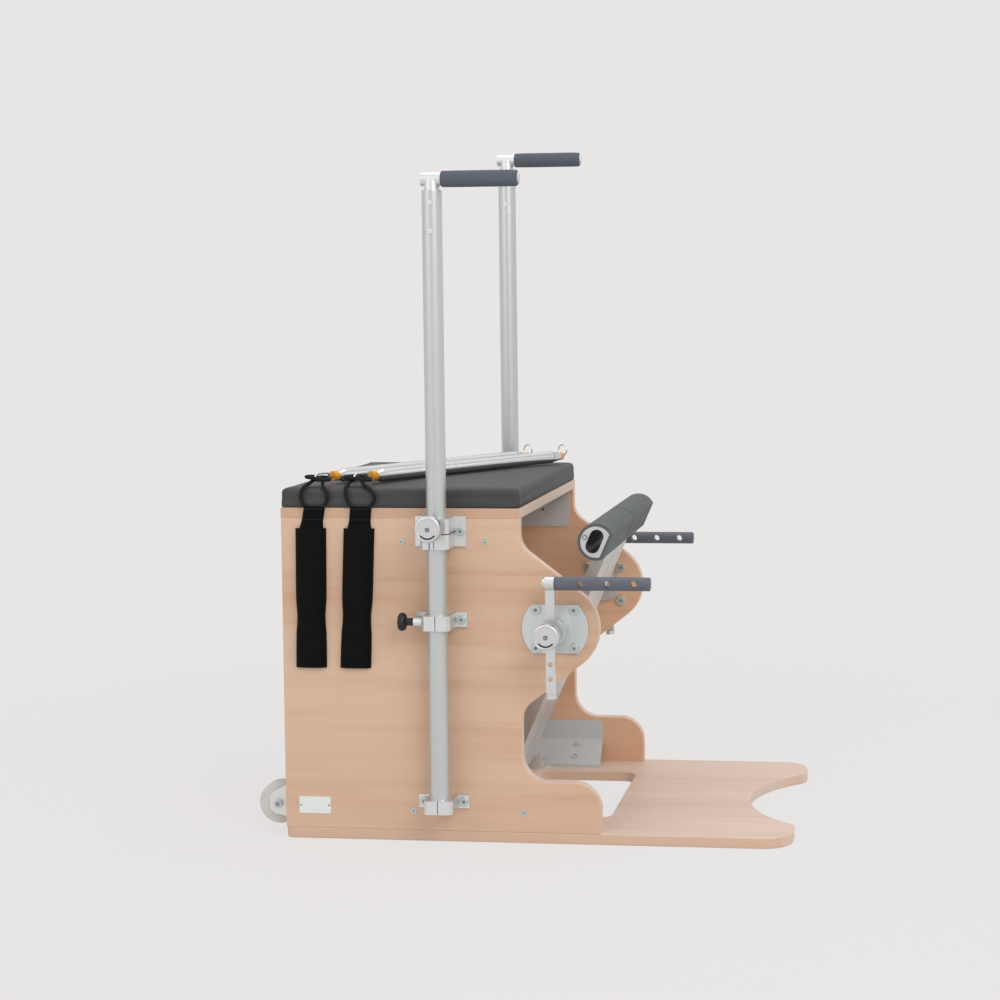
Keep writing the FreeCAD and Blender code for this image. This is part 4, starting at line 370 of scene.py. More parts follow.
def socket_head(mesh, spot, outward, radius, height, socket, corners=6):
    """Adds a round screw head that stands on a face, with a sunk socket of so many corners. The socket's
    faces take the second material."""
    bevel = 0.15 * height
    socket_depth = 0.35 * height
    top = Matrix.Translation((0, 0, height))
    rim = bmesh.ops.create_circle(mesh, segments=30, radius=radius - bevel, matrix=top)["verts"]
    well = bmesh.ops.create_circle(mesh, segments=corners, radius=socket, matrix=top)["verts"]
    rim_edges = ring_edges(rim)
    well_edges = ring_edges(well)
    bmesh.ops.bridge_loops(mesh, edges=rim_edges + well_edges)
    sunk = bmesh.ops.extrude_edge_only(mesh, edges=well_edges)["geom"]
    sunk_verts = only(bmesh.types.BMVert, sunk)
    sunk_edges = [edge for edge in only(bmesh.types.BMEdge, sunk) if edge.is_boundary]
    bmesh.ops.translate(mesh, vec=(0, 0, -socket_depth), verts=sunk_verts)
    recess = only(bmesh.types.BMFace, sunk)
    recess += bmesh.ops.contextual_create(mesh, geom=sunk_edges)["faces"]
    for face in recess:
        face.material_index = 1
    made = rim + well + sunk_verts
    for drop, grow in ((bevel, radius / (radius - bevel)), (height - bevel, 1)):
        ring = bmesh.ops.extrude_edge_only(mesh, edges=rim_edges)["geom"]
        ring_verts = only(bmesh.types.BMVert, ring)
        rim_edges = [edge for edge in only(bmesh.types.BMEdge, ring) if edge.is_boundary]
        bmesh.ops.translate(mesh, vec=(0, 0, -drop), verts=ring_verts)
        bmesh.ops.scale(mesh, vec=(grow, grow, 1), verts=ring_verts)
        made += ring_verts
    bmesh.ops.contextual_create(mesh, geom=rim_edges)
    bmesh.ops.transform(mesh, matrix=aimed(spot, outward), verts=made)


bright_steel = metal("bright_steel", rgb(206, 210, 210), 0.26, (60, 60, 60))
zinc = metal("zinc_plate", rgb(203, 214, 212), 0.36, (90, 90, 90))
# Socket faces are painted a darker grey than the zinc: painted shade in the recesses.
recess_shade, place = finish("recess_shade", {"Specular IOR Level": 0.1})
recess_shade_mottle = noise(place, (300, 300, 300), 2.0)
recess_colour = tint(recess_shade_mottle, rgb(138, 147, 145), rgb(162, 171, 169))
feed(recess_shade, {"Base Color": recess_colour, "Roughness": 0.7 + 0.2 * recess_shade_mottle})
sides = {"right": -1, "left": 1}
panel_low, panel_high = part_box("right_side_panel")
rear = panel_low.x
outside = -panel_low.y
inside = -panel_high.y
panel_screw = {"radius": 0.0055, "height": 0.002, "socket": 0.0026, "corners": 4}
panel_screw_sink = 0.0004
screw_places = [(rear + 0.247, 0.057), (rear + 0.457, 0.057), (rear + 0.231, 0.562), (rear + 0.389, 0.562)]
mesh = bmesh.new()
for side in sides.values():
    for along, height in screw_places:
        spot = (along, side * (outside - panel_screw_sink), height)
        socket_head(mesh, spot, (0, side, 0), **panel_screw)
screws = piece("panel_screw_heads", mesh, zinc, "frame", inner=recess_shade)
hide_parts("panel_screws")
slope_bolt = {"radius": 0.0065, "height": 0.0036, "socket": 0.003}
slope_bolt_sink = 0.0003
slope_places = [(0.2675, 0.0555), (0.2468, 0.0348)]
mesh = bmesh.new()
for side in sides.values():
    for along, _ in screw_places[:2]:
        for out, level in slope_places:
            spot = (along, side * (out + slope_bolt_sink), level - slope_bolt_sink)
            socket_head(mesh, spot, (0, -side, 1), **slope_bolt)
piece("bracket_bolt_heads", mesh, zinc, "frame", inner=recess_shade)

# Transport wheels: pale moulded tyres on bolts between the ears of two folded forks.
# They stand behind the lower rail, so that the chair rolls when it is tilted back.
tyre, place = finish("pale_tyre", {})
scuff = noise(place, (40, 40, 40), 4.0, 0.6)
tyre_colour = tint(ease(scuff, 0.35, 0.75), rgb(212, 210, 204), rgb(198, 196, 190))
feed(tyre, {"Base Color": tyre_colour, "Roughness": 0.42 + 0.2 * scuff, "Normal": bump(scuff, 0.1, 0.0004)})
wheel_bore = 0.0052
tyre_rim = [(0.0028, 0), (0.0008, 0.0012), (0, 0.0034)]
for hand, side in sides.items():
    low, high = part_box(f"{hand}_wheel")
    half = (high.y - low.y) / 2
    radius = (high.z - low.z) / 2
    profile = [(wheel_bore, -half)]
    profile += [(radius - inset, depth - half) for inset, depth in tyre_rim]
    profile += [(radius, 0)]
    profile += [(out, -along) for out, along in reversed(profile[:-1])]
    mesh = bmesh.new()
    turned(mesh, profile + profile[:1], 56)
    bmesh.ops.transform(mesh, matrix=aimed((low + high) / 2, (0, side, 0)), verts=mesh.verts)
    wheel = piece(f"{hand}_wheel_tyre", mesh, tyre, f"{hand}_wheel")
    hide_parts(f"{hand}_wheel")
fork_metal = metal("fork_metal", rgb(232, 234, 232), 0.42, (260, 260, 30))
dress(fork_metal, "wheel_forks")
dress(bright_steel, "wheel_axles")
wheel_bolt = {"radius": 0.0075, "height": 0.0016, "socket": 0.0045}
head_sink = 0.0002
axle_low, axle_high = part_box("wheel_axles")
axle_middle = (axle_low + axle_high) / 2
mesh = bmesh.new()
for side in sides.values():
    spot = (axle_middle.x, side * (axle_high.y - head_sink), axle_middle.z)
    socket_head(mesh, spot, (0, side, 0), **wheel_bolt)
piece("wheel_bolt_faces", mesh, bright_steel, "frame", inner=recess_shade)

# Pole clamps: blocks of satin aluminium, three to a side, bolted to the panels through wings. The upper
# ones have saw cuts so that they can be drawn tight on the pole; the cuts are thin strips painted dark,
# as painted shade in the gaps.
satin = metal("satin_aluminium", rgb(230, 232, 232), 0.42, (40, 40, 600))
dress(satin, "right_pole_clamps", "left_pole_clamps", "plunger_collars")
pole_x = rear + 0.307
wing_face = outside + 0.005
clamp_levels = [0.583, 0.4185, 0.0775]
clamp_bolt = {"radius": 0.0085, "height": 0.0052, "socket": 0.0034}
clamp_bolt_spread = 0.0375
mesh = bmesh.new()
for side in sides.values():
    for level in clamp_levels:
        for turn in (-1, 1):
            spot = (pole_x + turn * clamp_bolt_spread, side * (wing_face - head_sink), level)
            socket_head(mesh, spot, (0, side, 0), **clamp_bolt)
clamp_bolts = piece("clamp_bolt_heads", mesh, zinc, "frame", inner=recess_shade)
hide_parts("clamp_bolts")
# The saw cuts are strips in a dark material: painted shade where there is only a gap.
cut_shade, place = finish("cut_shade", {"Specular IOR Level": 0.1})
cut_shade_mottle = noise(place, (300, 300, 300), 2.0)
feed(cut_shade, {"Base Color": tint(cut_shade_mottle, rgb(30, 33, 33), rgb(52, 55, 55)), "Roughness": 0.7 + 0.2 * cut_shade_mottle})
cut_face = outside + 0.0592
cut_side = 0.0272
cut_width = 0.0016
cut_corner = 0.006
strip_thickness = 0.0003
level_cut_low = 0.5822
level_cut = [(0.009, cut_face), (cut_side - cut_corner, cut_face)]
level_cut += [(cut_side, cut_face - cut_corner), (cut_side, wing_face)]
upright_cut_low = 0.5553
upright_cut_height = 0.0145
upright_cut = [(-0.0093, cut_face), (-0.0077, cut_face)]
mesh = bmesh.new()
for side in sides.values():
    for points, low, height in (
        (level_cut, level_cut_low, cut_width),
        (upright_cut, upright_cut_low, upright_cut_height),
    ):
        row = [mesh.verts.new((pole_x + along, side * out, low)) for along, out in points]
        edges = [mesh.edges.new(pair) for pair in zip(row, row[1:])]
        risen = bmesh.ops.extrude_edge_only(mesh, edges=edges)["geom"]
        bmesh.ops.translate(mesh, vec=(0, 0, height), verts=only(bmesh.types.BMVert, risen))
bmesh.ops.solidify(mesh, geom=mesh.faces[:], thickness=strip_thickness)
piece("clamp_saw_cuts", mesh, cut_shade, "frame")

# Poles: drawn aluminium tubes, satin anodised, with index holes. A cast tee is screwed into each top,
# and its bar carries a foam grip with a screwed end cap.
anodised = metal("anodised_tube", rgb(206, 210, 209), 0.34, (900, 900, 2.5), 0.06, 0.7)
cast_metal = metal("cast_tee", rgb(228, 230, 232), 0.42, (300, 300, 300))
foam, place = finish("grip_foam", {"Specular IOR Level": 0.25})
cells = noise(place, (1300, 1300, 1300), 2.0)
soft = noise(place, (30, 30, 30), 2.0)
foam_colour = tint(0.5 * cells + 0.4 * soft, rgb(78, 85, 94), rgb(98, 104, 114))
feed(foam, {"Base Color": foam_colour, "Roughness": 0.6 + 0.2 * cells, "Normal": bump(cells, 0.35, 0.0004)})
grip_bore = 0.0086
grip_start = [(0.0035, 0), (0.0012, 0.0008), (0.0003, 0.003), (0.0003, 0.012), (0, 0.02)]
grip_end = [(0, 0.02), (0.0003, 0.005), (0.0012, 0.0016), (0.004, 0)]
for hand in sides:
    dress(anodised, f"{hand}_pole")
    dress(cast_metal, f"{hand}_tee")
    low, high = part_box(f"{hand}_grip")
    length = high.x - low.x
    radius = (high.z - low.z) / 2
    profile = [(grip_bore, 0)]
    profile += [(radius - inset, along) for inset, along in grip_start]
    profile += [(radius - inset, length - along) for inset, along in grip_end]
    profile += [(grip_bore, length), (grip_bore, 0)]
    mesh = bmesh.new()
    turned(mesh, profile, 48)
    start = (low.x, (low.y + high.y) / 2, (low.z + high.z) / 2)
    bmesh.ops.transform(mesh, matrix=aimed(start, (1, 0, 0)), verts=mesh.verts)
    grip = piece(f"{hand}_grip_sleeve", mesh, foam, f"{hand}_pole")
    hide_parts(f"{hand}_grip")

# Lock knobs: turned aluminium with a sunk face, a black arc that shows which way to turn, and a screw
# in the middle. One presses on each pole through its upper clamp, one locks each arm lever's hub.
knob_metal = metal("knob_metal", rgb(222, 223, 224), 0.36, (700, 20, 700))
mark_paint, place = finish("mark_paint", {"Specular IOR Level": 0.3})
grit = noise(place, (600, 600, 600), 2.0)
mark_colour = tint(grit, rgb(22, 22, 24), rgb(34, 34, 36))
feed(mark_paint, {"Base Color": mark_colour, "Roughness": 0.45 + 0.2 * grit})
screw_steel = metal("screw_steel", rgb(132, 134, 126), 0.4, (200, 200, 200))
knob_radius = 0.024
knob_depth = 0.022
knob_back = [(0.003, 0), (0.0009, 0.0009), (0, 0.003)]
knob_face = [(0, 0.0032), (0.0009, 0.001), (0.0026, 0), (0.0034, 0), (0.0042, 0.0008)]
knob_face_sink = 0.0008
knob_screw = {"radius": 0.0042, "height": 0.001, "socket": 0.0024}
stem_radius = 0.004
collar_radius = 0.011
collar_length = 0.026
collar_bevel = 0.0008
mark_reach = (0.0152, 0.018)
mark_turn = math.radians(104)
mark_middle = Matrix.Rotation(-math.pi / 2 - mark_turn / 2, 3, "Z")
face_up = Matrix(((1, 0, 0), (0, 0, 1), (0, 1, 0))).to_4x4()
for hand, side in sides.items():
    for use in ("clamp_knob", "hub_knob"):
        low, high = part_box(f"{hand}_{use}")
        middle = (low + high) / 2
        length = high.y - low.y
        back = length - knob_depth
        collar = back - collar_length
        profile = [(0, 0), (stem_radius, 0), (stem_radius, collar), (collar_radius - collar_bevel, collar)]
        profile += [(collar_radius, collar + collar_bevel), (collar_radius, back)]
        profile += [(knob_radius - inset, back + along) for inset, along in knob_back]
        profile += [(knob_radius - inset, length - along) for inset, along in knob_face]
        profile += [(0, length - knob_face_sink)]
        start = (middle.x, low.y if side > 0 else high.y, middle.z)
        mesh = bmesh.new()
        turned(mesh, profile, 64)
        bmesh.ops.transform(mesh, matrix=aimed(start, (0, side, 0)), verts=mesh.verts)
        knob = piece(f"{hand}_{use}_body", mesh, knob_metal, f"{hand}_{use}")
        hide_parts(f"{hand}_{use}")
        spot = (middle.x, side * (abs(start[1]) + length - knob_face_sink), middle.z)
        mesh = bmesh.new()
        socket_head(mesh, spot, (0, side, 0), **knob_screw)
        piece(f"{hand}_{use}_screw", mesh, screw_steel, f"{hand}_{use}", inner=recess_shade)
        mesh = bmesh.new()
        ends = [mesh.verts.new((reach, 0, 0)) for reach in mark_reach]
        bar = mesh.edges.new(ends)
        bmesh.ops.spin(mesh, geom=ends + [bar], cent=(0, 0, 0), axis=(0, 0, 1), angle=mark_turn, steps=26)
        bmesh.ops.rotate(mesh, cent=(0, 0, 0), matrix=mark_middle, verts=mesh.verts)
        bmesh.ops.solidify(mesh, geom=mesh.faces[:], thickness=strip_thickness)
        bmesh.ops.transform(mesh, matrix=Matrix.Translation(spot) @ face_up, verts=mesh.verts)
        piece(f"{hand}_{use}_mark", mesh, mark_paint, f"{hand}_{use}")

# Index plungers: a black moulded knob on a pin that a spring pushes into the pole's holes.
# Knob and pin are turned as one shape, as the pin hides in its collar.
black_plastic, place = finish("black_plastic", {"Specular IOR Level": 0.45})
grit = noise(place, (500, 500, 500), 2.0)
plastic_colour = tint(grit, rgb(20, 20, 22), rgb(34, 34, 36))
plastic_relief = bump(grit, 0.15, 0.0002)
feed(black_plastic, {"Base Color": plastic_colour, "Roughness": 0.38 + 0.2 * grit, "Normal": plastic_relief})
pull_growth = 0.004
pull_radius = 0.017
pull_face_radius = 0.008
pin_radius = 0.0045
pull_neck = [(pin_radius, 0.029), (0.0062, 0.029), (0.007, 0.0282), (0.007, 0.0144), (0.0085, 0.0138)]
pull_rim = [(0.003, 0.0136), (0.0008, 0.0112), (0, 0.0075), (0.0006, 0.004), (0.003, 0.0015)]
pull_dome = 0.0003
for hand in sides:
    low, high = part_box(f"{hand}_plunger")
    length = high.x - low.x + pull_growth
    profile = [(0, 0), (pin_radius, 0)]
    profile += [(radius, length - along) for radius, along in pull_neck]
    profile += [(pull_radius - inset, length - along) for inset, along in pull_rim]
    profile += [(pull_face_radius, length - pull_dome), (0, length)]
    mesh = bmesh.new()
    turned(mesh, profile, 48)
    start = (high.x, (low.y + high.y) / 2, (low.z + high.z) / 2)
    bmesh.ops.transform(mesh, matrix=aimed(start, (-1, 0, 0)), verts=mesh.verts)
    pull = piece(f"{hand}_plunger_knob", mesh, black_plastic, f"{hand}_plunger")
    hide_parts(f"{hand}_plunger")

# Hubs: an aluminium plate on the outside of each nose with a turned boss for the lever's shaft,
# bolted through the ply to nuts inside.
plate_metal = metal("plate_metal", rgb(218, 224, 224), 0.42, (500, 40, 500))
dress(plate_metal, "hub_plates")
hub_x = rear + 0.52
hub_z = 0.403
hub_face = outside + 0.005
hub_bolt = {"radius": 0.009, "height": 0.0052, "socket": 0.0036}
hub_nut = {"radius": 0.01, "height": 0.0072, "socket": 0.0044}
hub_bolt_spread = 0.0355
mesh = bmesh.new()
for side in sides.values():
    for turn_x in (-1, 1):
        for turn_z in (-1, 1):
            along = hub_x + turn_x * hub_bolt_spread
            height = hub_z + turn_z * hub_bolt_spread
            socket_head(mesh, (along, side * (hub_face - head_sink), height), (0, side, 0), **hub_bolt)
            socket_head(mesh, (along, side * (inside + head_sink), height), (0, -side, 0), **hub_nut)
hub_bolts = piece("hub_bolt_heads", mesh, zinc, "frame", inner=recess_shade)
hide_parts("hub_bolts")

# Arm levers: a flat aluminium bar on each hub's shaft, with a crank disc inside the panel and a drilled
# peg in painted tube at its top.
lever_metal = metal("lever_metal", rgb(224, 226, 226), 0.36, (600, 600, 12))
peg_paint, place = finish("peg_paint", {"Specular IOR Level": 0.4})
orange_peel = noise(place, (420, 420, 420), 1.0)
wear = noise(place, (26, 26, 26), 3.0)
peg_colour = tint(0.6 * wear + 0.2 * orange_peel, rgb(86, 90, 101), rgb(106, 110, 120))
peg_relief = bump(orange_peel, 0.1, 0.0003)
feed(peg_paint, {"Base Color": peg_colour, "Roughness": 0.4 + 0.12 * wear, "Normal": peg_relief})
for hand in sides:
    dress(lever_metal, f"{hand}_lever")
    dress(peg_paint, f"{hand}_peg")

# Pedal: two halves side by side, each a hollow D-shaped extrusion in a soft rubber cover, on a folded
# channel arm that swings on one steel axle near the floor. A screw in the bar's outer end holds the cover;
# the dark ring round it is painted shade of its counterbore.
arm_metal = metal("arm_metal", rgb(214, 214, 212), 0.44, (500, 500, 10))
core_metal = metal("core_metal", rgb(214, 216, 218), 0.34, (600, 10, 600))
rubber, place = finish("pedal_rubber", {"Specular IOR Level": 0.35})
stipple = noise(place, (1500, 1500, 1500), 2.0)
rubbed = noise(place, (22, 9, 22), 3.0)
rubber_colour = tint(0.35 * stipple + 0.5 * rubbed, rgb(80, 85, 86), rgb(98, 103, 104))
rubber_relief = bump(stipple, 0.3, 0.0003)
feed(rubber, {"Base Color": rubber_colour, "Roughness": 0.52 + 0.2 * stipple, "Normal": rubber_relief})
end_screw = {"radius": 0.0048, "height": 0.0026, "socket": 0.003, "corners": 20}
end_screw_x = rear + 0.574
end_screw_z = 0.571
for hand, side in sides.items():
    dress(arm_metal, f"{hand}_pedal_arm")
    dress(core_metal, f"{hand}_pedal_core")
    dress(rubber, f"{hand}_pedal_cover")
    low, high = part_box(f"{hand}_pedal_cover")
    bar_end = max(side * low.y, side * high.y)
    mesh = bmesh.new()
    # The head's outer ring, in dark screw steel, is painted shade of the counterbore; its sunk round socket,
    # in zinc, is the screw's face.
    socket_head(mesh, (end_screw_x, side * (bar_end - head_sink), end_screw_z), (0, side, 0), **end_screw)
    piece(f"{hand}_pedal_end_screw", mesh, screw_steel, f"{hand}_pedal", inner=zinc)
dress(satin, "axle_blocks")
dress(bright_steel, "pedal_axle")

# Pedal springs: each a wound steel spring from a pin in the pedal's arm to a knuckle on the upper rail.
# It is two windings, one in the other's gaps, so that the rear one can slide back as the pedal goes down.
chrome, place = finish("chrome_wire", {"Metallic": 1.0})
breath = noise(place, (30, 30, 30), 2.0)
chrome_colour = tint(breath, rgb(205, 209, 209), rgb(216, 219, 219))
feed(chrome, {"Base Color": chrome_colour, "Roughness": 0.1 + 0.06 * breath})
spring_y = 0.073
spring_pin = Vector((-0.007075, 0, 0.212576))
spring_knuckle = Vector((-0.3795, 0, 0.39))
spring_run = spring_knuckle - spring_pin
spring_turns = 19
wire_radius = 0.0022
coil_radius = 0.0138
cup_reach = 0.048
cup = [(0, 0.0098), (0.0025, 0.0098), (0.0025, 0.04), (0.0132, 0.04), (0.014, 0.041)]
cup += [(0.014, cup_reach), (0, cup_reach)]
knuckle_reach = 0.022
knuckle_stem = [(0, 0), (0.013, 0), (0.013, 0.0034), (0.0124, 0.004), (0.005, 0.004)]
knuckle_stem += [(0.005, knuckle_reach), (0, knuckle_reach)]
knuckle_roll = [(0, -0.008), (0.0072, -0.008), (0.008, -0.0072)]
knuckle_roll += [(radius, -along) for radius, along in reversed(knuckle_roll)]


def wound(mesh, start, length, turns, radius, wire, steps, corners):
    """Adds a wire wound about Z from a height up, with closed ends."""
    section = bmesh.new()
    across = Matrix.Translation((radius, 0, start)) @ Matrix.Rotation(math.pi / 2, 4, "X")
    bmesh.ops.create_circle(section, segments=corners, radius=wire, matrix=across)
    data = bpy.data.meshes.new("wire_section")
    section.to_mesh(data)
    section.free()
    holder = bpy.data.objects.new("wire_section", data)
    bpy.context.scene.collection.objects.link(holder)
    screw = holder.modifiers.new("wind", "SCREW")
    screw.iterations = turns
    screw.screw_offset = length / turns
    screw.steps = screw.render_steps = steps
    shown = holder.evaluated_get(bpy.context.evaluated_depsgraph_get())
    mesh.from_mesh(bpy.data.meshes.new_from_object(shown))
    bpy.data.objects.remove(holder)
    bmesh.ops.holes_fill(mesh, edges=[edge for edge in mesh.edges if edge.is_boundary])


for hand, side in sides.items():
    across = Vector((0, side * spring_y, 0))
    at_pin = aimed(spring_pin + across, spring_run)
    at_knuckle = aimed(spring_knuckle + across, -spring_run)
    wound_length = spring_run.length - 2 * cup_reach
    mesh = bmesh.new()
    wound(mesh, cup_reach, wound_length, spring_turns, coil_radius, wire_radius, 24, 10)
    bmesh.ops.transform(mesh, matrix=at_pin, verts=mesh.verts)
    front_winding = piece(f"{hand}_spring_front_winding", mesh, chrome, f"{hand}_spring_link")
    mesh = bmesh.new()
    wound(mesh, cup_reach, wound_length, spring_turns, coil_radius, wire_radius, 24, 10)
    turned(mesh, cup, 32)
    bmesh.ops.transform(mesh, matrix=at_knuckle, verts=mesh.verts)
    rear_winding = piece(f"{hand}_spring_rear_winding", mesh, chrome, f"{hand}_spring_link")
    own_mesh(rear_winding)
    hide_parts(f"{hand}_pedal_spring")
    dress(bright_steel, f"{hand}_spring_link")
mesh = bmesh.new()
for side in sides.values():
    knuckle = spring_knuckle + Vector((0, side * spring_y, 0))
    stem = turned(mesh, knuckle_stem, 32)
    stem_foot = knuckle - Vector((knuckle_reach, 0, 0))
    bmesh.ops.transform(mesh, matrix=aimed(stem_foot, (1, 0, 0)), verts=stem)
    roll = turned(mesh, knuckle_roll, 32)
    bmesh.ops.transform(mesh, matrix=aimed(knuckle, (0, 1, 0)), verts=roll)
knuckles = piece("spring_knuckles", mesh, bright_steel, "frame")
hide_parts("spring_anchors")

# Bare plate: a small sheet of aluminium on the right panel, with nothing on it.
# A small rivet holds each end.
badge_metal = metal("badge_metal", rgb(246, 249, 248), 0.46, (500, 40, 500))
dress(badge_metal, "badge_plate")
plate_low, plate_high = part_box("badge_plate")
rivet_inset = 0.0037
rivet_profile = [(0, 0), (0.0015, 0), (0.0015, 0.0003), (0.001, 0.0007), (0, 0.0008)]
mesh = bmesh.new()
for along in (plate_low.x + rivet_inset, plate_high.x - rivet_inset):
    rivet = turned(mesh, rivet_profile, 20)
    spot = (along, plate_low.y + head_sink, (plate_low.z + plate_high.z) / 2)
    bmesh.ops.transform(mesh, matrix=aimed(spot, (0, -1, 0)), verts=rivet)
piece("plate_rivets", mesh, screw_steel, "frame")

# Arm springs: two close-wound springs that lie across the seat, with tapered plugs, a snap hook at the
# near end, an eye with a split ring at the far end, and short orange sleeves between.
orange, place = finish("orange_sleeve", {"Specular IOR Level": 0.5})
swirl = noise(place, (60, 60, 60), 2.0)
orange_colour = tint(swirl, rgb(226, 148, 30), rgb(242, 172, 52))
feed(orange, {"Base Color": orange_colour, "Roughness": 0.3 + 0.12 * swirl})
arm_angle = math.radians(60.4)
arm_heading = Vector((math.cos(arm_angle), math.sin(arm_angle), 0))
arm_starts = {"front": Vector((rear + 0.169, -0.21, 0.6784)), "rear": Vector((rear + 0.094, -0.21, 0.6784))}
arm_length = 0.5
arm_radius = 0.013
arm_wire = 0.0012
arm_turns = 208
arm_end_gap = 0.0006
arm_core_radius = 0.0127
arm_core_gap = 0.001
arm_core = [(0, arm_core_gap), (arm_core_radius, arm_core_gap)]
arm_core += [(radius, arm_length - gap) for radius, gap in reversed(arm_core)]
arm_winding = (arm_end_gap, arm_length - 2 * arm_end_gap, arm_turns, arm_radius - arm_wire, arm_wire)
for set_name, start in arm_starts.items():
    body = f"{set_name}_arm_set"
    mesh = bmesh.new()
    wound(mesh, *arm_winding, 20, 6)
    turned(mesh, arm_core, 36)
    bmesh.ops.transform(mesh, matrix=aimed(start, arm_heading), verts=mesh.verts)
    arm_spring = piece(f"{set_name}_arm_spring_coil", mesh, chrome, body, 80)
    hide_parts(f"{set_name}_arm_spring")
    dress(chrome, f"{set_name}_spring_fittings")
    dress(orange, f"{set_name}_spring_sleeves")

# Hand straps: a folded tab of black webbing, sewn into a padded sleeve that hangs down the right panel.
# A cord from the tab's two corners is hitched through the arm spring's hook, its bight over both legs.
webbing, place = finish("black_webbing", {"Specular IOR Level": 0.12})
weave_x = place.node("ShaderNodeSeparateXYZ", {}, {"Vector": place}, 0)
weave_z = place.node("ShaderNodeSeparateXYZ", {}, {"Vector": place}, 2)
warp = weave_x.node("ShaderNodeMath", {"operation": "SINE"}, {0: weave_x * 3600})
weft = weave_z.node("ShaderNodeMath", {"operation": "SINE"}, {0: weave_z * 3600})
weave = warp * weft
lint = noise(place, (90, 90, 90), 3.0)
web_colour = tint(0.3 * weave + 0.5 * lint, rgb(7, 8, 10), rgb(15, 17, 20))
feed(webbing, {"Base Color": web_colour, "Roughness": 0.72 + 0.15 * lint, "Normal": bump(weave, 0.4, 0.0004)})
braid, place = finish("black_cord", {"Specular IOR Level": 0.25})
strand = noise(place, (700, 700, 700), 2.0)
cord_colour = tint(strand, rgb(16, 16, 17), rgb(32, 32, 34))
cord_relief = bump(strand, 0.5, 0.0006)
feed(braid, {"Base Color": cord_colour, "Roughness": 0.65 + 0.2 * strand, "Normal": cord_relief})
thread, place = finish("black_thread", {"Specular IOR Level": 0.3})
twist = noise(place, (900, 900, 900), 2.0)
feed(thread, {"Base Color": tint(twist, rgb(30, 30, 32), rgb(48, 48, 50)), "Roughness": 0.6 + 0.2 * twist})
strap_tops = {"front": (rear + 0.151, 0.0105, 0.004), "rear": (rear + 0.0585, 0.0028, 0.0078)}
strap_height = 0.627
strap_back = outside + 0.0016
strap_routes = {
    "rear": [
        (-9.7, -5.3, 0), (-15, -6, 9), (-17, -6.5, 20), (-14.5, -4.5, 33), (-10, 5, 39.5), (-8, 17, 40.5),
        (-10, 29, 41.5), (-9, 38.5, 43.5), (-3, 44.5, 48.5), (8, 45, 51.6), (19, 42, 51.6), (27, 35, 50),
        (30.5, 26, 48.5), (29.5, 17, 48.5), (22.5, 11, 49.3), (13, 13.5, 50.2), (4, 18, 51.2), (-2.5, 20, 52),
        (-9, 20.3, 53), (-15.5, 25, 53.5), (-15.5, 33.3, 53.5), (-9, 38, 53.5), (-2, 38, 52.8),
        (5, 36.8, 51.5), (12, 34, 49.6), (17.5, 26, 45), (19, 15, 41), (23, 4, 39.3), (31, -5, 32),
        (35, -6.5, 20), (33, -6, 9), (26.3, -5.3, 0),
    ],
    "front": [
        (-9, -5.3, 0), (-15, -6, 9), (-17.5, -6.5, 20), (-19, -4.5, 33), (-20, 5, 39.5), (-20, 17, 40.5),
        (-23, 29, 41.5), (-22, 38.5, 43.5), (-16, 44.5, 48.5), (-5, 45, 51.6), (6, 42, 51.6), (15, 35, 50),
        (21, 27, 48.5), (21.5, 17.5, 48.5), (14.5, 11, 49.3), (5, 12.3, 50.2), (-5, 16.8, 51.2),
        (-14, 19.4, 52), (-21.5, 19.6, 53), (-28.5, 24.5, 53.5), (-28.5, 33.3, 53.5), (-21.5, 38.2, 53.5),
        (-15, 38, 52.8), (-9, 36.8, 51.5), (-1, 34, 49.6), (5, 26, 45), (9.5, 15, 41), (17, 4, 39.3),
        (30, -5, 32), (37.5, -6.5, 20), (35, -6, 9), (27, -5.3, 0),
    ],
}
cord_starts = {"front": rear + 0.146, "rear": rear + 0.058}
cord_width = 0.007
tab_length = 0.046
tab_rows = [
    (0, 0.039, 0.003), (0.0015, 0.0405, 0.0062), (0.004, 0.041, 0.0074), (0.012, 0.041, 0.0064),
    (0.022, 0.041, 0.0074), (0.026, 0.041, 0.0062), (0.03, 0.042, 0.0048), (0.038, 0.045, 0.007),
    (tab_length, 0.046, 0.008),
]
stitch_drops = (0.0035, 0.0235)
stitch_width = 0.036
stitch_half = 0.0004
stitch_depth = 0.0006
stitch_out = 0.0071
sleeve_drop = 0.04
sleeve_length = 0.262
sleeve_width = 0.059
sleeve_depth = 0.0148
sleeve_rows = 44
end_share = 0.04
end_taper = 0.55
waist_share = 0.65
waist_spread = 0.1
waist_pinch = 0.09
waist_press = 0.12
band_first, band_last = [round(share * sleeve_rows) for share in (0.64, 0.78)]
band_wider = 0.0008
band_deeper = 0.0012
seam_inset = 0.009
seam_width = 0.0014
seam_proud = 0.0006
seam_depth_share = 0.85


def slab(mesh, levels, fullness, back, segments):
    """Adds a closed strip that hangs down, from levels of height, middle, width and depth. Its front is
    the flatter, the larger the fullness."""
    made = bmesh.ops.create_grid(mesh, x_segments=segments, y_segments=len(levels) - 1, size=0.5)["verts"]
    faces = list(dict.fromkeys(face for vert in made for face in vert.link_faces))
    front = bmesh.ops.extrude_face_region(mesh, geom=faces)["geom"]
    front_verts = set(only(bmesh.types.BMVert, front))
    for vert in made + list(front_verts):
        row = round((0.5 - vert.co.y) * (len(levels) - 1))
        height, middle, width, depth = levels[row]
        share = 2 * vert.co.x
        out = depth * (1 - abs(share) ** fullness) if vert in front_verts else 0
        vert.co = (middle + share * width / 2, -back - out, height)


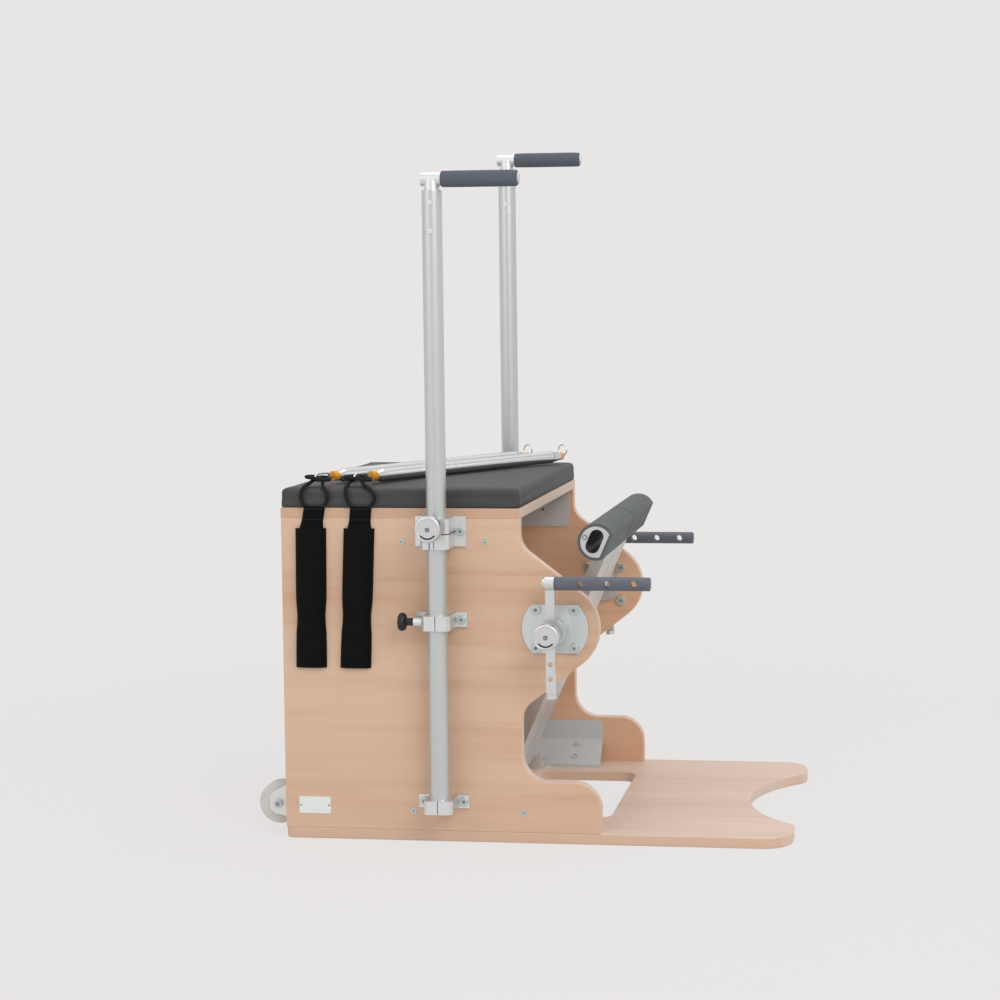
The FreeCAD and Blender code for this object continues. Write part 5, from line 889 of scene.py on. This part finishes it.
for set_name, (middle, drift, lean) in strap_tops.items():
    body = f"{set_name}_arm_set"
    tied = Vector((cord_starts[set_name], -outside, strap_height))
    route = [Vector(point) / 1000 + tied for point in strap_routes[set_name]]
    curve = bpy.data.curves.new(f"{set_name}_cord_loop", "CURVE")
    curve.dimensions = "3D"
    curve.bevel_depth = cord_width / 2
    curve.bevel_resolution = 4
    curve.resolution_u = 10
    curve.use_fill_caps = True
    line = curve.splines.new("NURBS")
    line.points.add(len(route) - 1)
    for point, spot in zip(line.points, route):
        point.co = (*spot, 1)
    line.order_u = 3
    line.use_endpoint_u = True
    cord = bpy.data.objects.new(f"{set_name}_cord_loop", curve)
    bpy.context.scene.collection.objects.link(cord)
    curve.materials.append(braid)
    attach(cord, body)
    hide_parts(f"{set_name}_cord")

    tab_levels = []
    for drop, width, depth in tab_rows:
        tab_levels.append((strap_height - drop, middle + lean * (1 - drop / tab_length), width, depth))
    mesh = bmesh.new()
    slab(mesh, tab_levels, 10, strap_back, 10)
    piece(f"{set_name}_strap_tab", mesh, webbing, body, 60)

    sleeve_top = strap_height - sleeve_drop
    sleeve_levels = []
    for row in range(sleeve_rows + 1):
        level = row / sleeve_rows
        waist = math.exp(-((level - waist_share) / waist_spread) ** 2)
        ends = 1 - end_taper * (max(0, 1 - level / end_share) + max(0, 1 - (1 - level) / end_share))
        width = sleeve_width * (1 - waist_pinch * waist)
        depth = sleeve_depth * (1 - waist_press * waist) * ends * (1 + 0.02 * math.sin(level * 23))
        sleeve_levels.append((sleeve_top - level * sleeve_length, middle - level * drift, width, depth))
    mesh = bmesh.new()
    slab(mesh, sleeve_levels, 5, strap_back, 16)
    sleeve = piece(f"{set_name}_strap_sleeve", mesh, webbing, body, 60)
    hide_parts(f"{set_name}_strap")

    band_levels = []
    for height, along, width, depth in sleeve_levels[band_first:band_last + 1]:
        band_levels.append((height, along, width + band_wider, depth + band_deeper))
    mesh = bmesh.new()
    slab(mesh, band_levels, 5, strap_back, 16)
    piece(f"{set_name}_strap_band", mesh, webbing, body, 60)

    seam_levels = []
    for height, along, width, depth in sleeve_levels[1:band_first]:
        seam_depth = seam_depth_share * depth + seam_proud
        seam_levels.append((height, along + width / 2 - seam_inset, seam_width, seam_depth))
    mesh = bmesh.new()
    slab(mesh, seam_levels, 8, strap_back, 2)
    for drop in stitch_drops:
        along = middle + lean * (1 - drop / tab_length)
        heights = (strap_height - drop + stitch_half, strap_height - drop - stitch_half)
        stitch_levels = [(height, along, stitch_width, stitch_depth) for height in heights]
        slab(mesh, stitch_levels, 20, strap_back + stitch_out, 10)
    piece(f"{set_name}_strap_stitches", mesh, thread, body, 60)

# Studio: a plain pale floor that fades into the backdrop, soft lamps from above and in front, and the
# camera at the photograph's place.
pale = rgb(232, 230, 229)
floor_mesh = bpy.data.meshes.new("floor")
mesh = bmesh.new()
bmesh.ops.create_grid(mesh, x_segments=1, y_segments=1, size=30)
mesh.to_mesh(floor_mesh)
mesh.free()
floor = bpy.data.objects.new("floor", floor_mesh)
bpy.context.scene.collection.objects.link(floor)


def seen_directly(nodes):
    """1 where a ray from the camera, a mirror or glass lands, and 0 for the rays that only light."""
    kinds = ("Camera", "Glossy", "Transmission")
    rays = [nodes.node("ShaderNodeLightPath", output=f"Is {kind} Ray") for kind in kinds]
    return nodes.maths("MINIMUM", rays[0] + rays[1] + rays[2], 1.0)


floor_paint = bpy.data.materials.new("pale_floor")
floor_paint.use_nodes = True
floor_nodes = Socket(floor_paint.node_tree)
floor_shader = floor_paint.node_tree.nodes["Principled BSDF"]
floor_shader.inputs["Base Color"].default_value = pale
floor_shader.inputs["Roughness"].default_value = 0.9
floor_shader.inputs["Specular IOR Level"].default_value = 0.1
glow = floor_nodes.node("ShaderNodeEmission", {}, {"Color": pale, "Strength": 1.0})
lit = Socket(floor_paint.node_tree, floor_shader.outputs[0])
floor_seen = seen_directly(floor_nodes)
floor_place = floor_nodes.node("ShaderNodeTexCoord", output="Object")
reach = floor_place.node("ShaderNodeVectorMath", {"operation": "LENGTH"}, {0: floor_place}, "Value")
glow_share = floor_seen * (0.84 + 0.16 * ease(reach, 0.9, 2.6))
mixed = floor_nodes.node("ShaderNodeMixShader", {}, {0: glow_share, 1: lit, 2: glow})
floor_output = floor_paint.node_tree.nodes["Material Output"]
floor_paint.node_tree.links.new(mixed.output, floor_output.inputs["Surface"])
floor_mesh.materials.append(floor_paint)

world = bpy.data.worlds.new("studio")
bpy.context.scene.world = world
world.use_nodes = True
world_nodes = Socket(world.node_tree)
world_seen = seen_directly(world_nodes)
shown = world_nodes.node("ShaderNodeBackground", {}, {"Color": pale, "Strength": 1.0})
lighting = world_nodes.node("ShaderNodeBackground", {}, {"Color": (1, 1, 1, 1), "Strength": 0.62})
mixed = world_nodes.node("ShaderNodeMixShader", {}, {0: world_seen, 1: lighting, 2: shown})
world.node_tree.links.new(mixed.output, world.node_tree.nodes["World Output"].inputs["Surface"])

lamps = {
    "key": ((2.3, -3.0, 3.0), 2.2, 62),
    "fill": ((-2.4, -3.0, 2.4), 2.6, 22),
    "top": ((0.2, 0.6, 4.0), 3.0, 34),
}
lamp_target = Vector((0, 0, 0.5))
for name, (spot, size, power) in lamps.items():
    lamp = bpy.data.lights.new(name, "AREA")
    lamp.size = size
    lamp.energy = power
    holder = bpy.data.objects.new(name, lamp)
    bpy.context.scene.collection.objects.link(holder)
    holder.location = spot
    holder.rotation_euler = (lamp_target - Vector(spot)).to_track_quat("-Z", "Y").to_euler()

camera_data = bpy.data.cameras.new("camera")
camera_data.lens = 1.9705 * camera_data.sensor_width
camera_data.shift_x = -0.18
camera_data.shift_y = -0.1
camera = bpy.data.objects.new("camera", camera_data)
bpy.context.scene.collection.objects.link(camera)
bpy.context.scene.camera = camera
camera_spot = (0.7335, -3.8581, 1.0053)
yaw = math.radians(-6.784)
pitch = math.radians(-2.881)
roll = math.radians(-0.464)
look = Vector((math.sin(yaw) * math.cos(pitch), math.cos(yaw) * math.cos(pitch), math.sin(pitch)))
level_right = Vector((math.cos(yaw), -math.sin(yaw), 0))
level_up = level_right.cross(look)
right = level_right * math.cos(roll) + level_up * math.sin(roll)
up = right.cross(look)
turn = Matrix((right, up, -look)).transposed()
camera.matrix_world = Matrix.Translation(camera_spot) @ turn.to_4x4()
bpy.context.scene.view_settings.view_transform = "Standard"
